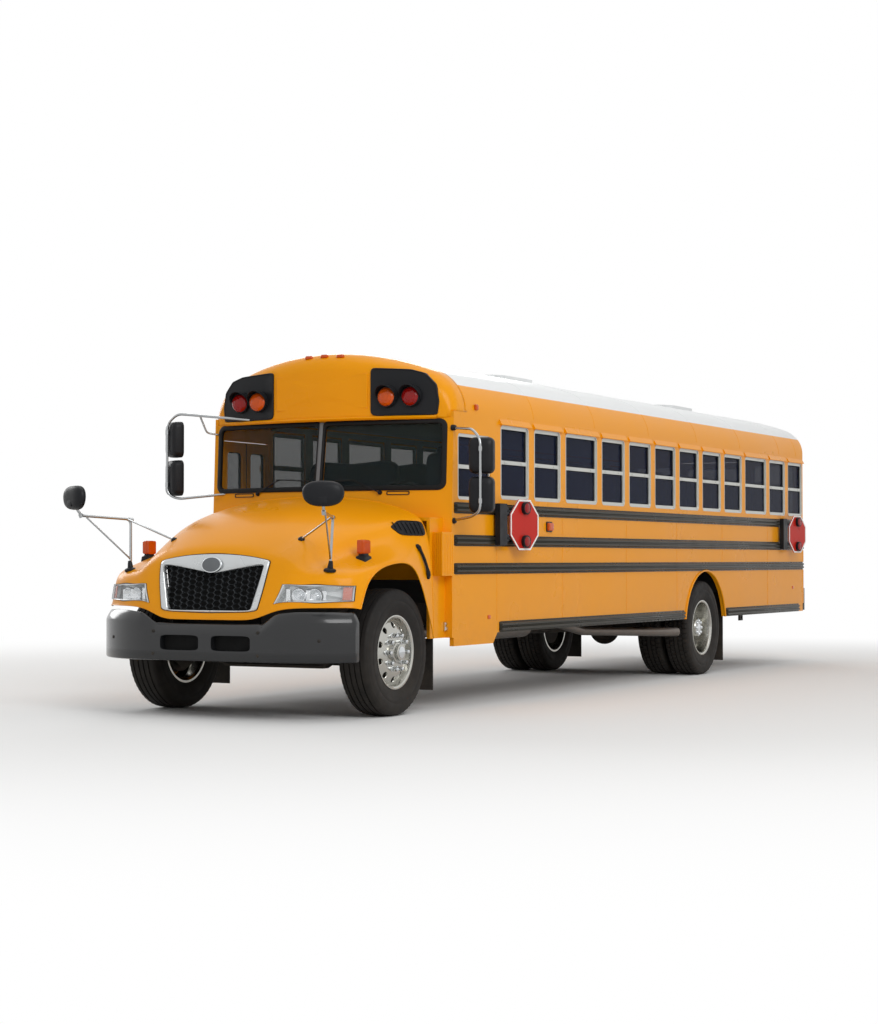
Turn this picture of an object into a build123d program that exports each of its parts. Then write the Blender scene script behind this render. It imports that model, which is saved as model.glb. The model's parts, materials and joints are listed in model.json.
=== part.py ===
from build123d import *
import math
import os

# School bus with a bonnet in front of the cabin. Sizes in millimetres.
# While building, x is measured forward from the front axle, y to the left, z up from the ground.

# Overall sizes
WHEELBASE = 6934.0
BODY_WIDTH = 2438.0
BODY_FRONT = -885.0
BODY_REAR = -10450.0
ROOF_TOP = 3082.0
MIRROR_REACH_X = 1325.0
MIRROR_REACH_Y = 1640.0

# Body shell
WALL = 40.0
ROOF_SPRING_Z = 2545.0
ROOF_SHOULDER_R = 390.0
REAR_ROOF_R = 300.0
REAR_CORNER_R = 75.0
CAP_CENTRE_X = -700.0
CAP_BACK_X = -1130.0
CAP_BOTTOM_Z = 2490.0
REAR_SPLIT_X = -10375.0
REAR_ROOF_SPLIT_X = -10130.0
SKIRT_Z = 630.0
FRONT_PANEL_Z = 537.0
REAR_WALL_BOTTOM_Z = 735.0

# Side windows
WINDOW_FRONT_X = -1793.0
PITCH_NARROW = 698.5
PITCH_WIDE = 863.6
WINDOW_POST = 128.0
WINDOW_BOTTOM_Z = 1818.0
WINDOW_TOP_Z = 2469.0
WINDOW_CORNER_R = 40.0
WINDOW_FRAME = 28.0
WINDOW_RAIL = 34.0
WINDOW_FRAME_DEPTH = 30.0
GLASS = 6.0
WIDE_WINDOWS = (3, 10)
WINDOW_COUNT = 12
LAST_WINDOW_TRIM = 40.0
DRIVER_WINDOW_FRONT_X = -960.0
DRIVER_WINDOW_REAR_X = -1596.0
DRIVER_WINDOW_BOTTOM_Z = 1790.0
DRIVER_WINDOW_TOP_Z = 2360.0

# Rub rails: height of each rail's middle
RAIL_DEPTH = 24.0
RAIL_HEIGHT = 96.0
RAIL_Z = (1718.0, 1439.0, 1197.0)
SKIRT_RAIL_Z = 674.0

# Windscreen
SCREEN_HALF_WIDTH = 1140.0
SCREEN_BOTTOM_Z = 1895.0
SCREEN_TOP_Z = 2455.0
SCREEN_POST = 44.0
COWL_BASE_Z = 1400.0
BASE_BOW = (-600.0, -840.0)
TOP_BOW = (-745.0, -884.0)
COWL_FRONT_X = -580.0
COWL_HALF_WIDTH = 1150.0
COWL_SHEET = 30.0
COWL_BOTTOM_Z = 610.0
COWL_SHELF_Z = 1600.0

# Floor and steps
FLOOR_TOP_Z = 1100.0
FLOOR_SLAB = 60.0
SILL_HEIGHT = 140.0
SILL_WIDTH = 60.0
STEP_COUNT = 3
STEP_BOTTOM_Z = 480.0
STEP_DEPTH = 235.0
STEP_SHEET = 25.0

# Entrance door
DOOR_FRONT_X = -960.0
DOOR_REAR_X = -1720.0
DOOR_BOTTOM_Z = 450.0
DOOR_TOP_Z = 2360.0
DOOR_GAP = 6.0
LEAF_MEETING_GAP = 16.0
LEAF_THICK = 34.0
LEAF_FRAME = 60.0

# Rear emergency door
REAR_DOOR_HALF_WIDTH = 430.0
REAR_DOOR_BOTTOM_Z = 1085.0
REAR_DOOR_TOP_Z = 2520.0
REAR_WINDOW_INNER_Y = 560.0
REAR_WINDOW_OUTER_Y = 1080.0
REAR_WINDOW_BOTTOM_Z = 1830.0

# Hinges
PIN_R = 9.0
KNUCKLE_R = 16.0
PIN_OUT = 19.0
FIT = 0.1

# Roof hatches
HATCH_X = (-4060.0, -8595.0)
HATCH_SIZE = 620.0
HATCH_OPENING = 540.0
HATCH_RISE = 45.0

# Wheels and tyres
TYRE_R = 520.0
TYRE_WIDTH = 280.0
RIM_R = 286.0
RIM_FLANGE_R = RIM_R + 17.0
RIM_WIDTH = 240.0
RIM_WALL = 16.0
STUD_CIRCLE_R = 143.0
STUD_COUNT = 10
HAND_HOLE_R = 27.0
HAND_HOLE_CIRCLE_R = 222.0
FRONT_TRACK = 2060.0
REAR_HUB_Y = 900.0
DUAL_SPACING = 320.0
SPINDLE_R = 38.0
REAR_SPINDLE_R = 55.0
DRUM_R = 205.0

# Axles and steering
KINGPIN_Y = 840.0
KINGPIN_R = 24.0
BOSS_HEIGHT = 120.0
BOSS_R = 42.0
EAR = 43.0
ARM_LENGTH = 230.0
TIE_ROD_R = 16.0
BALL_R = 15.0

# Frame
RAIL_OUTER_Y = 432.0
FRAME_FLANGE = 76.0
FRAME_SHEET = 8.0
FRAME_BOTTOM_Z = 640.0
FRAME_TOP_Z = 900.0
FRAME_FRONT_X = 900.0
FRAME_REAR_X = BODY_REAR + 50.0

# Bonnet
HOOD_REAR_X = -545.0
HOOD_SHEET = 28.0
NOSE_X = 1030.0
NOSE_BOTTOM_Z = 800.0
NOSE_LEAN = 100.0 / 536.0
FENDER_BOTTOM_Z = 900.0
HOOD_PIVOT_X = 960.0
HOOD_PIVOT_Z = 860.0
HOOD_PIN_R = 14.0

# Bumpers
BUMPER_FRONT_X = 1068.0
BUMPER_BOTTOM_Z = 465.0
BUMPER_TOP_Z = 862.0
BUMPER_NOTCH_Z = 770.0
BUMPER_KNEE_Z = 782.0
BUMPER_SLOPE = 45.0
BUMPER_SHEET = 10.0
BUMPER_HALF_WIDTH = 1205.0
REAR_BUMPER_DEPTH = 92.0

# Stop arms
STOP_SIGN = 457.0
STOP_SIGN_Z = 1586.0
STOP_HINGE_X = (-1800.0, -9590.0)
STOP_AJAR = 8.0
STOP_PIN_Y = 1282.0

HALF = BODY_WIDTH / 2
REAR_AXLE_X = -WHEELBASE
REAR_BUMPER_X = BODY_REAR - 4.0 - REAR_BUMPER_DEPTH
ORIGIN_X = (MIRROR_REACH_X + REAR_BUMPER_X) / 2
PARTS = "parts"


def side_plane(y):
    """Upright plane along the bus; drawn in (x, z)."""
    return Plane(origin=(0, y, 0), x_dir=(1, 0, 0), z_dir=(0, -1, 0))


def cross_plane(x):
    """Upright plane across the bus; drawn in (y, z)."""
    return Plane(origin=(x, 0, 0), x_dir=(0, 1, 0), z_dir=(1, 0, 0))


def side_prism(face, y0, y1):
    return extrude(side_plane(y0) * face, amount=y1 - y0, dir=(0, 1, 0))


def cross_prism(face, x0, x1):
    return extrude(cross_plane(x0) * face, amount=x1 - x0, dir=(1, 0, 0))


def plan_prism(face, z0, z1, lean=0.0):
    """Plan outline raised from z0 to z1, shifted by lean along x for each unit of height."""
    direction = Vector(lean, 0, 1)
    return extrude(Pos(0, 0, z0) * face, amount=(z1 - z0) * direction.length, dir=direction)


def block(x0, x1, y0, y1, z0, z1):
    return Pos((x0 + x1) / 2, (y0 + y1) / 2, (z0 + z1) / 2) * Box(x1 - x0, y1 - y0, z1 - z0)


def polygon(points, radius=0.0):
    face = make_face(Polyline(*points, close=True))
    if radius:
        face = fillet(face.vertices(), radius)
    return face


def panel(u0, u1, v0, v1, radius=0.0):
    return polygon([(u0, v0), (u1, v0), (u1, v1), (u0, v1)], radius)


def rod_x(y, z, x0, x1, r):
    return cross_prism(Pos(y, z) * Circle(r), x0, x1)


def rod_y(x, z, y0, y1, r):
    return side_prism(Pos(x, z) * Circle(r), y0, y1)


def rod_z(x, y, z0, z1, r):
    return plan_prism(Pos(x, y) * Circle(r), z0, z1)


def ring_y(r0, r1, y0, y1):
    """Ring round the y axis through the origin."""
    return rod_y(0, 0, y0, y1, r1) - rod_y(0, 0, y0 - 1, y1 + 1, r0)


def tube(points, radius, bend):
    path = FilletPolyline(*points, radius=bend)
    return sweep(Plane(origin=path @ 0, z_dir=path % 0) * Circle(radius), path=path)


def mirrored(part):
    return mirror(part, about=Plane.XZ)


def save(name, *shapes):
    solids = [s for shape in shapes for s in shape.solids()]
    body = Compound(children=[s.moved(Location((-ORIGIN_X, 0, 0))) for s in solids])
    export_step(body, os.path.join(PARTS, name + ".step"))


def both_sides(name, part):
    save("left_" + name, part)
    save("right_" + name, mirrored(part))


os.makedirs(PARTS, exist_ok=True)

# Frame: two channel rails, cross members, spring hangers, tank cradle, tow eyes, bonnet hinge brackets
FRONT_SPRING = dict(y=410.0, base=486.0, half=700.0, leaves=4, camber=60.0)
REAR_SPRING = dict(y=520.0, base=600.0, half=760.0, leaves=5, camber=60.0)
LEAF = 14.0
SPRING_WIDTH = 76.0
TANK_FRONT_X = REAR_AXLE_X - 1066.0
TANK_REAR_X = TANK_FRONT_X - 1700.0
GEARBOX_REAR_X = -1250.0
CENTRE_BEARING_X = 0.53 * REAR_AXLE_X + 0.47 * GEARBOX_REAR_X + 375.0
CROSS_MEMBERS = (GEARBOX_REAR_X - 300.0, CENTRE_BEARING_X, REAR_AXLE_X + 1534.0, REAR_AXLE_X - 816.0,
                 TANK_REAR_X - 150.0, BODY_REAR + 120.0)
TANK_BOTTOM_Z = 600.0
TOW_BORE_R = 22.0
TOW_Y = 245.0
TOW_SHEET = 24.0
web_y = RAIL_OUTER_Y - FRAME_SHEET


def spring_end_z(spring):
    radius = spring["half"] ** 2 / (2 * spring["camber"])
    rise_end = radius - math.sqrt(radius ** 2 - spring["half"] ** 2)
    return spring["base"] + spring["leaves"] * LEAF + rise_end


def rail():
    web = block(FRAME_REAR_X, FRAME_FRONT_X, web_y, RAIL_OUTER_Y, FRAME_BOTTOM_Z, FRAME_TOP_Z)
    flange_y = RAIL_OUTER_Y - FRAME_FLANGE
    low = block(FRAME_REAR_X, FRAME_FRONT_X, flange_y, RAIL_OUTER_Y,
                FRAME_BOTTOM_Z, FRAME_BOTTOM_Z + FRAME_SHEET)
    high = block(FRAME_REAR_X, FRAME_FRONT_X, flange_y, RAIL_OUTER_Y,
                 FRAME_TOP_Z - FRAME_SHEET, FRAME_TOP_Z)
    part = web + low + high
    for end in (-1, 1):
        x = end * (FRONT_SPRING["half"] - 20)
        y = FRONT_SPRING["y"]
        part += block(x - 30, x + 30, y - 48, y + 48, spring_end_z(FRONT_SPRING), FRAME_BOTTOM_Z)
        x = REAR_AXLE_X + end * (REAR_SPRING["half"] - 20)
        y = REAR_SPRING["y"]
        z = spring_end_z(REAR_SPRING)
        part += block(x - 30, x + 30, RAIL_OUTER_Y, y + 44, z, z + 60)
    for x in (TANK_FRONT_X - 300, TANK_REAR_X + 300):
        part += block(x - 40, x + 40, web_y - 30, web_y, TANK_BOTTOM_Z, FRAME_BOTTOM_Z)
    part += block(820, 925, RAIL_OUTER_Y, 532, HOOD_PIVOT_Z - 20, HOOD_PIVOT_Z + 20)
    for y0 in (470, 524):
        part += block(924, HOOD_PIVOT_X, y0, y0 + 8, HOOD_PIVOT_Z - 20, HOOD_PIVOT_Z + 20)
        part += rod_y(HOOD_PIVOT_X, HOOD_PIVOT_Z, y0, y0 + 8, 20)
    part += rod_y(HOOD_PIVOT_X, HOOD_PIVOT_Z, 470, 532, HOOD_PIN_R)
    eye = block(855, 1000, TOW_Y - TOW_SHEET / 2, TOW_Y + TOW_SHEET / 2, 575, 700)
    part += eye - rod_y(960, 612, 0, 500, TOW_BORE_R)
    rear_eye = block(-10380, -10270, RAIL_OUTER_Y - 30, RAIL_OUTER_Y - 30 + TOW_SHEET, 500, FRAME_BOTTOM_Z)
    part += rear_eye - rod_y(-10325, 542, 0, 500, TOW_BORE_R)
    return part


frame = rail()
frame = frame + mirrored(frame)
for x in CROSS_MEMBERS:
    frame += block(x - 45, x + 45, -web_y, web_y, 690, 850)
frame += block(700, 860, -web_y, web_y, FRAME_BOTTOM_Z + FRAME_SHEET, 720)
for x in (TANK_FRONT_X - 300, TANK_REAR_X + 300):
    frame += block(x - 40, x + 40, -web_y, web_y, TANK_BOTTOM_Z - 25, TANK_BOTTOM_Z)
save("chassis_frame", frame)

# Leaf springs: leaves of one radius stacked under the longest one
def spring(kind):
    radius = kind["half"] ** 2 / (2 * kind["camber"])
    shape = None
    for i in range(kind["leaves"]):
        half = kind["half"] * (1 - 0.2 * (kind["leaves"] - 1 - i))
        z = kind["base"] + i * LEAF
        centre = z + LEAF + radius - LEAF
        leaf = Pos(0, centre + LEAF) * Circle(radius + LEAF) - Pos(0, centre + LEAF) * Circle(radius)
        leaf = leaf & Pos(0, z + 60) * Rectangle(2 * half, 130)
        shape = leaf if shape is None else shape + leaf
    return side_prism(shape, kind["y"] - SPRING_WIDTH / 2, kind["y"] + SPRING_WIDTH / 2)


front_spring = spring(FRONT_SPRING)
rear_spring = Pos(REAR_AXLE_X, 0, 0) * spring(REAR_SPRING)
save("leaf_springs", front_spring, mirrored(front_spring), rear_spring, mirrored(rear_spring))

# Front axle: dropped beam with king pin bosses and spring pads
BEAM = [(-810, 465), (-620, 465), (-480, 372), (480, 372), (620, 465), (810, 465),
        (810, 575), (640, 575), (500, 478), (-500, 478), (-640, 575), (-810, 575)]
beam_face = polygon(BEAM)
beam = cross_prism(beam_face, -48, 48)
pocket = offset(beam_face, amount=-22)
beam -= cross_prism(pocket, 14, 60)
beam -= cross_prism(pocket, -60, -14)
axle_z = TYRE_R
for side in (-1, 1):
    y = side * KINGPIN_Y
    beam += rod_z(0, y, axle_z - BOSS_HEIGHT / 2, axle_z + BOSS_HEIGHT / 2, BOSS_R)
    beam -= rod_z(0, y, 0, 1000, KINGPIN_R + FIT)
    y = side * FRONT_SPRING["y"]
    beam += block(-90, 90, y - 42, y + 42, 470, FRONT_SPRING["base"])
save("front_axle", beam)

# Knuckle: two ears round the boss, king pin, stub axle, brake plate and steering arm
ear_in = axle_z + BOSS_HEIGHT / 2 + 2
ear_out = ear_in + EAR
FRONT_WHEEL_Y = FRONT_TRACK / 2
knuckle = rod_z(0, KINGPIN_Y, 2 * axle_z - ear_out, ear_out, KINGPIN_R)
for z0, z1 in ((ear_in, ear_out), (2 * axle_z - ear_out, 2 * axle_z - ear_in)):
    knuckle += block(-50, 50, KINGPIN_Y - 45, KINGPIN_Y + 60, z0, z1)
knuckle += block(-55, 55, KINGPIN_Y + 48, KINGPIN_Y + 85, 2 * axle_z - ear_out, ear_out)
knuckle += rod_y(0, axle_z, KINGPIN_Y + 84, KINGPIN_Y + 100, 175)
knuckle += rod_y(0, axle_z, KINGPIN_Y + 90, FRONT_WHEEL_Y + 92, SPINDLE_R)
arm_z = 2 * axle_z - ear_out
knuckle += block(-ARM_LENGTH - 30, -40, KINGPIN_Y - 25, KINGPIN_Y + 25, arm_z + 8, arm_z + 36)
knuckle += rod_z(-ARM_LENGTH, KINGPIN_Y, arm_z - 40, arm_z + 10, BALL_R)
both_sides("knuckle", knuckle)

# Tie rod
rod_zc = arm_z - 14
tie = rod_y(-ARM_LENGTH, rod_zc, -KINGPIN_Y + 25, KINGPIN_Y - 25, TIE_ROD_R)
for side in (-1, 1):
    tie += rod_z(-ARM_LENGTH, side * KINGPIN_Y, rod_zc - 16, rod_zc + 16, 34)
for side in (-1, 1):
    tie -= rod_z(-ARM_LENGTH, side * KINGPIN_Y, rod_zc - 50, rod_zc + 50, BALL_R + FIT)
save("tie_rod", tie)


# Wheels, drawn round the y axis and moved to the axle
def tyre(y):
    half = TYRE_WIDTH / 2
    seat = RIM_R + 0.3
    lip = RIM_WIDTH / 2 - 8.3
    edges = [Line((seat, -lip), (seat, lip)),
             Line((seat, lip), (RIM_FLANGE_R + 2, lip)),
             ThreePointArc((RIM_FLANGE_R + 2, lip), (405, half), (497, half - 18)),
             ThreePointArc((497, half - 18), (514, half - 28), (TYRE_R, half - 44)),
             Line((TYRE_R, half - 44), (TYRE_R, 44 - half)),
             ThreePointArc((TYRE_R, 44 - half), (514, 28 - half), (497, 18 - half)),
             ThreePointArc((497, 18 - half), (405, -half), (RIM_FLANGE_R + 2, -lip)),
             Line((RIM_FLANGE_R + 2, -lip), (seat, -lip))]
    return Pos(0, y, 0) * revolve(make_face(edges), axis=Axis.Y)


def rim(y):
    half = RIM_WIDTH / 2
    part = ring_y(RIM_R - RIM_WALL, RIM_R, -half, half)
    part += ring_y(RIM_R - 1, RIM_FLANGE_R, half - 8, half)
    part += ring_y(RIM_R - 1, RIM_FLANGE_R, -half, 8 - half)
    return Pos(0, y, 0) * part


def dish(points):
    return revolve(polygon(points), axis=Axis.Y)


def spoked(count, radius, circle, y0, y1):
    hole = rod_y(0, 0, y0, y1, radius)
    return [Rot(0, 360 * i / count, 0) * Pos(circle, 0, 0) * hole for i in range(count)]


rim_in = RIM_R - RIM_WALL
front_wheel = rim(0)
front_wheel += dish([(rim_in + 2, -14), (rim_in + 2, 8), (170, 74), (60, 74), (60, 58), (160, 58)])
for hole in spoked(STUD_COUNT, HAND_HOLE_R, HAND_HOLE_CIRCLE_R, -60, 100):
    front_wheel -= hole
front_wheel += ring_y(SPINDLE_R + FIT, 78, -62, 96)
front_wheel += rod_y(0, 0, 94, 116, 70)
front_wheel += ring_y(70, DRUM_R, 22, 34)
front_wheel += ring_y(DRUM_R - 18, DRUM_R, -78, 30)
for nut in spoked(STUD_COUNT, 17, STUD_CIRCLE_R, 66, 108):
    front_wheel += nut
front_tyre = tyre(0)

rear_wheels = None
half_gap = DUAL_SPACING / 2
for side in (1, -1):
    cone = [(rim_in + 2, 62 * side), (rim_in + 2, 84 * side), (168, 16 * side), (70, 16 * side),
            (70, 0), (176, 0)]
    part = rim(side * half_gap) + dish(cone)
    rear_wheels = part if rear_wheels is None else rear_wheels + part
for hole in spoked(STUD_COUNT, HAND_HOLE_R, HAND_HOLE_CIRCLE_R, -200, 200):
    rear_wheels -= hole
rear_wheels += ring_y(REAR_SPINDLE_R + FIT, 108, -60, 116)
rear_wheels += rod_y(0, 0, 114, 140, 96)
rear_wheels += ring_y(106, DRUM_R, -40, -22)
rear_wheels += ring_y(DRUM_R - 18, DRUM_R, -250, -24)
for nut in spoked(STUD_COUNT, 17, STUD_CIRCLE_R, 10, 48):
    rear_wheels += nut
front_at = Pos(0, FRONT_WHEEL_Y, axle_z)
rear_at = Pos(REAR_AXLE_X, REAR_HUB_Y, axle_z)
both_sides("front_tyre", front_at * front_tyre)
both_sides("front_wheel", front_at * front_wheel)
rear_pair = Compound(children=[tyre(half_gap), tyre(-half_gap)])
both_sides("rear_tyres", rear_at * rear_pair)
both_sides("rear_wheels", rear_at * rear_wheels)

# Rear axle: tube, differential bowl and pinion nose
rear_axle = rod_y(0, 0, -REAR_HUB_Y + 265, REAR_HUB_Y - 265, 68)
rear_axle += rod_y(0, 0, -REAR_HUB_Y - 110, REAR_HUB_Y + 110, REAR_SPINDLE_R)
bowl = revolve(make_face([ThreePointArc((0, -150), (205, 0), (0, 150)), Line((0, 150), (0, -150))]),
               axis=Axis.Y)
rear_axle += bowl
rear_axle += rod_x(0, 0, 100, 290, 70)
for side in (-1, 1):
    rear_axle += block(-100, 100, side * REAR_SPRING["y"] - 45, side * REAR_SPRING["y"] + 45, 20,
                       REAR_SPRING["base"] - axle_z)
rear_axle = Pos(REAR_AXLE_X, 0, axle_z) * rear_axle
save("rear_axle", rear_axle)

# Engine with gearbox, drive shaft, radiator, fuel tank, exhaust
engine = block(-500, 600, -300, 300, 600, 1350) + block(GEARBOX_REAR_X, -490, -200, 200, 500, 860)
for side in (-1, 1):
    engine += block(0, 120, min(side * 290, side * web_y), max(side * 290, side * web_y), 700, 780)
save("engine_block", engine)
PINION_X = REAR_AXLE_X + 290
shaft_z0 = 600.0
shaft_z1 = axle_z
span = GEARBOX_REAR_X - PINION_X
tilt = math.degrees(math.atan2(shaft_z0 - shaft_z1, span))
shaft = rod_x(0, axle_z, PINION_X, PINION_X + 60, 62)
shaft += rod_x(0, shaft_z0, GEARBOX_REAR_X - 60, GEARBOX_REAR_X, 62)
slope = math.hypot(span - 60, shaft_z0 - shaft_z1)
shaft_middle = Pos((PINION_X + GEARBOX_REAR_X) / 2, 0, (shaft_z0 + shaft_z1) / 2)
shaft += shaft_middle * Rot(0, 90 - tilt, 0) * Cylinder(48, slope)
mid_z = shaft_z1 + (CENTRE_BEARING_X - PINION_X) / span * (shaft_z0 - shaft_z1)
shaft += block(CENTRE_BEARING_X - 45, CENTRE_BEARING_X + 45, -75, 75, mid_z - 70, 690)
save("driveshaft", shaft)
save("radiator", block(715, 800, -350, 350, 720, 1215))
tank = block(TANK_REAR_X, TANK_FRONT_X, -345, 345, TANK_BOTTOM_Z, 870)
tank = fillet(tank.edges().filter_by(Axis.X), 55)
save("fuel_tank", tank)
MUFFLER = dict(front=-2300.0, rear=-3500.0, y=600.0, z=640.0, r=120.0)
exhaust = rod_x(MUFFLER["y"], MUFFLER["z"], MUFFLER["rear"], MUFFLER["front"], MUFFLER["r"])
exhaust += tube([(MUFFLER["rear"] + 20, MUFFLER["y"], MUFFLER["z"]), (-4300, MUFFLER["y"], MUFFLER["z"]),
                 (-4800, 660, 545), (REAR_AXLE_X + 634, 1120, 490)], 50, 180)
exhaust += tube([(MUFFLER["front"] - 20, MUFFLER["y"], MUFFLER["z"]), (-1700, MUFFLER["y"], MUFFLER["z"]),
                 (-1200, 570, 640), (-760, 500, 660)], 50, 180)
for x in (-2500, -3300):
    exhaust += block(x - 20, x + 20, RAIL_OUTER_Y, MUFFLER["y"], 730, 750)
save("exhaust", exhaust)


# Front bumper: bowed channel with a notch under the nose and two openings
def bumper_plan(inset):
    x = BUMPER_FRONT_X - inset
    end = BUMPER_HALF_WIDTH - inset
    back = 690.0
    points = [(x, -560), (x, 560)]
    edges = [Line(*points), ThreePointArc((x, 560), (x - 95, 930), (back + 60, end)),
             Line((back + 60, end), (back, end)), Line((back, end), (back, -end)),
             Line((back, -end), (back + 60, -end)),
             ThreePointArc((back + 60, -end), (x - 95, -930), (x, -560))]
    return make_face(edges)


NOTCH_HALF = 510.0
NOTCH_TOP_HALF = 640.0


def notch(drop):
    z = BUMPER_NOTCH_Z - drop
    top = BUMPER_TOP_Z + 10
    low, high = NOTCH_HALF + drop, NOTCH_TOP_HALF + drop
    return cross_prism(polygon([(-low, z), (low, z), (high, top), (-high, top)]), 600, 1200)


sheet = BUMPER_SHEET


def bumper_block(inset):
    """Upright face with a slope that falls back to the top edge."""
    knee = BUMPER_KNEE_Z - inset / 2
    part = plan_prism(bumper_plan(inset), BUMPER_BOTTOM_Z + inset, knee)
    foot = Pos(0, 0, knee) * bumper_plan(inset)
    top = Pos(0, 0, BUMPER_TOP_Z - inset) * bumper_plan(inset + BUMPER_SLOPE)
    return part + loft([foot, top], ruled=True) - notch(inset)


bumper = bumper_block(0)
hollow = bumper_block(sheet)
bumper -= hollow
bumper -= block(600, 1015, -700, 700, BUMPER_BOTTOM_Z + 1, BUMPER_TOP_Z + 20)
bumper -= block(600, 960, -700, 700, 0, 2000)
bumper -= plan_prism(polygon([(600, 690), (960, 690), (680, 1160), (600, 1160)]), 0, 2000)
bumper -= plan_prism(polygon([(600, -690), (960, -690), (680, -1160), (600, -1160)]), 0, 2000)
for side in (-1, 1):
    bumper -= cross_prism(panel(side * 250 - 190, side * 250 + 190, 550, 672, 30), 1000, 1100)
    bumper += block(FRAME_FRONT_X, BUMPER_FRONT_X - sheet / 2, side * 462 - 28, side * 462 + 28, 660, 760)
    bumper += block(FRAME_FRONT_X, FRAME_FRONT_X + 20, side * 425 - 65, side * 425 + 65, 660, 760)
save("front_bumper", bumper)

REAR_BUMPER_BOTTOM_Z = FRAME_BOTTOM_Z
REAR_BUMPER_TOP_Z = 915.0
REAR_BUMPER_SHEET = 10.0
BUMPER_HORN_HEIGHT = 60.0
rear_bumper = block(REAR_BUMPER_X, BODY_REAR - 4, -BUMPER_HALF_WIDTH, BUMPER_HALF_WIDTH,
                    REAR_BUMPER_BOTTOM_Z, REAR_BUMPER_TOP_Z)
rear_bumper = fillet(rear_bumper.edges().filter_by(Axis.Z).sort_by(Axis.X)[:2], 60)
rear_bumper -= block(REAR_BUMPER_X + REAR_BUMPER_SHEET, BODY_REAR, -1140, 1140,
                     REAR_BUMPER_BOTTOM_Z + REAR_BUMPER_SHEET, REAR_BUMPER_TOP_Z - REAR_BUMPER_SHEET)
for side in (-1, 1):
    rear_bumper += block(REAR_BUMPER_X + 5, -10200, side * 379 - 22, side * 379 + 22,
                         FRAME_BOTTOM_Z - BUMPER_HORN_HEIGHT, FRAME_BOTTOM_Z)
save("rear_bumper", rear_bumper)

# Mud flaps
FRONT_FLAP_X = -645.0
REAR_FLAP_X = REAR_AXLE_X - 676.0
front_flap = block(FRONT_FLAP_X - 6, FRONT_FLAP_X + 6, 900, 1145, 176, COWL_BOTTOM_Z)
rear_flap = block(REAR_FLAP_X - 6, REAR_FLAP_X + 6, 590, 1170, 130, FRAME_TOP_Z)
save("mud_flaps", front_flap, mirrored(front_flap), rear_flap, mirrored(rear_flap))

# Roof arch: shoulder arcs tangent to the walls and to one crown arc
shoulder_y = HALF - ROOF_SHOULDER_R
rise = ROOF_TOP - ROOF_SPRING_Z
CROWN_R = (shoulder_y ** 2 + rise ** 2 - ROOF_SHOULDER_R ** 2) / (2 * (rise - ROOF_SHOULDER_R))
crown_z = ROOF_TOP - CROWN_R
tangent = math.atan2(ROOF_SPRING_Z - crown_z, shoulder_y)


def arch_face(inset, bottom):
    w = HALF - inset
    r = ROOF_SHOULDER_R - inset
    big = CROWN_R - inset
    ty, tz = big * math.cos(tangent), crown_z + big * math.sin(tangent)
    my, mz = shoulder_y + r * math.cos(tangent / 2), ROOF_SPRING_Z + r * math.sin(tangent / 2)
    return make_face([Line((-w, bottom), (w, bottom)), Line((w, bottom), (w, ROOF_SPRING_Z)),
                      ThreePointArc((w, ROOF_SPRING_Z), (my, mz), (ty, tz)),
                      ThreePointArc((ty, tz), (0, ROOF_TOP - inset), (-ty, tz)),
                      ThreePointArc((-ty, tz), (-my, mz), (-w, ROOF_SPRING_Z)),
                      Line((-w, ROOF_SPRING_Z), (-w, bottom))])


def loaf_side(inset, bottom):
    x0, x1, z1 = BODY_REAR + inset, CAP_CENTRE_X + 200, ROOF_TOP - inset
    r = REAR_ROOF_R - inset
    c = math.sqrt(0.5)
    return make_face([Line((x0, bottom), (x0, z1 - r)),
                      ThreePointArc((x0, z1 - r), (x0 + r - c * r, z1 - r + c * r), (x0 + r, z1)),
                      Line((x0 + r, z1), (x1, z1)),
                      Line((x1, z1), (x1, bottom)),
                      Line((x1, bottom), (x0, bottom))])


BOW = CAP_CENTRE_X - BODY_FRONT
BOW_R = (HALF ** 2 + BOW ** 2) / (2 * BOW)


def bow_x(y, inset, centre_x=CAP_CENTRE_X):
    return centre_x - BOW_R + math.sqrt((BOW_R - inset) ** 2 - y ** 2)


def loaf_plan(inset):
    w = HALF - inset
    x0, x1 = BODY_REAR + inset, bow_x(w, inset)
    r = REAR_CORNER_R - inset
    c = math.sqrt(0.5)
    return make_face([Line((x1, w), (x0 + r, w)),
                      ThreePointArc((x0 + r, w), (x0 + r - c * r, w - r + c * r), (x0, w - r)),
                      Line((x0, w - r), (x0, r - w)),
                      ThreePointArc((x0, r - w), (x0 + r - c * r, r - w - c * r), (x0 + r, -w)),
                      Line((x0 + r, -w), (x1, -w)),
                      ThreePointArc((x1, -w), (CAP_CENTRE_X - inset, 0), (x1, w))])


def loaf(inset, bottom):
    part = cross_prism(arch_face(inset, bottom), BODY_REAR - 10, 0)
    part &= side_prism(loaf_side(inset, bottom), -2000, 2000)
    return part & plan_prism(loaf_plan(inset), bottom, ROOF_TOP + 100)


shell = loaf(0, 700) - loaf(WALL, 600)

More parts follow.
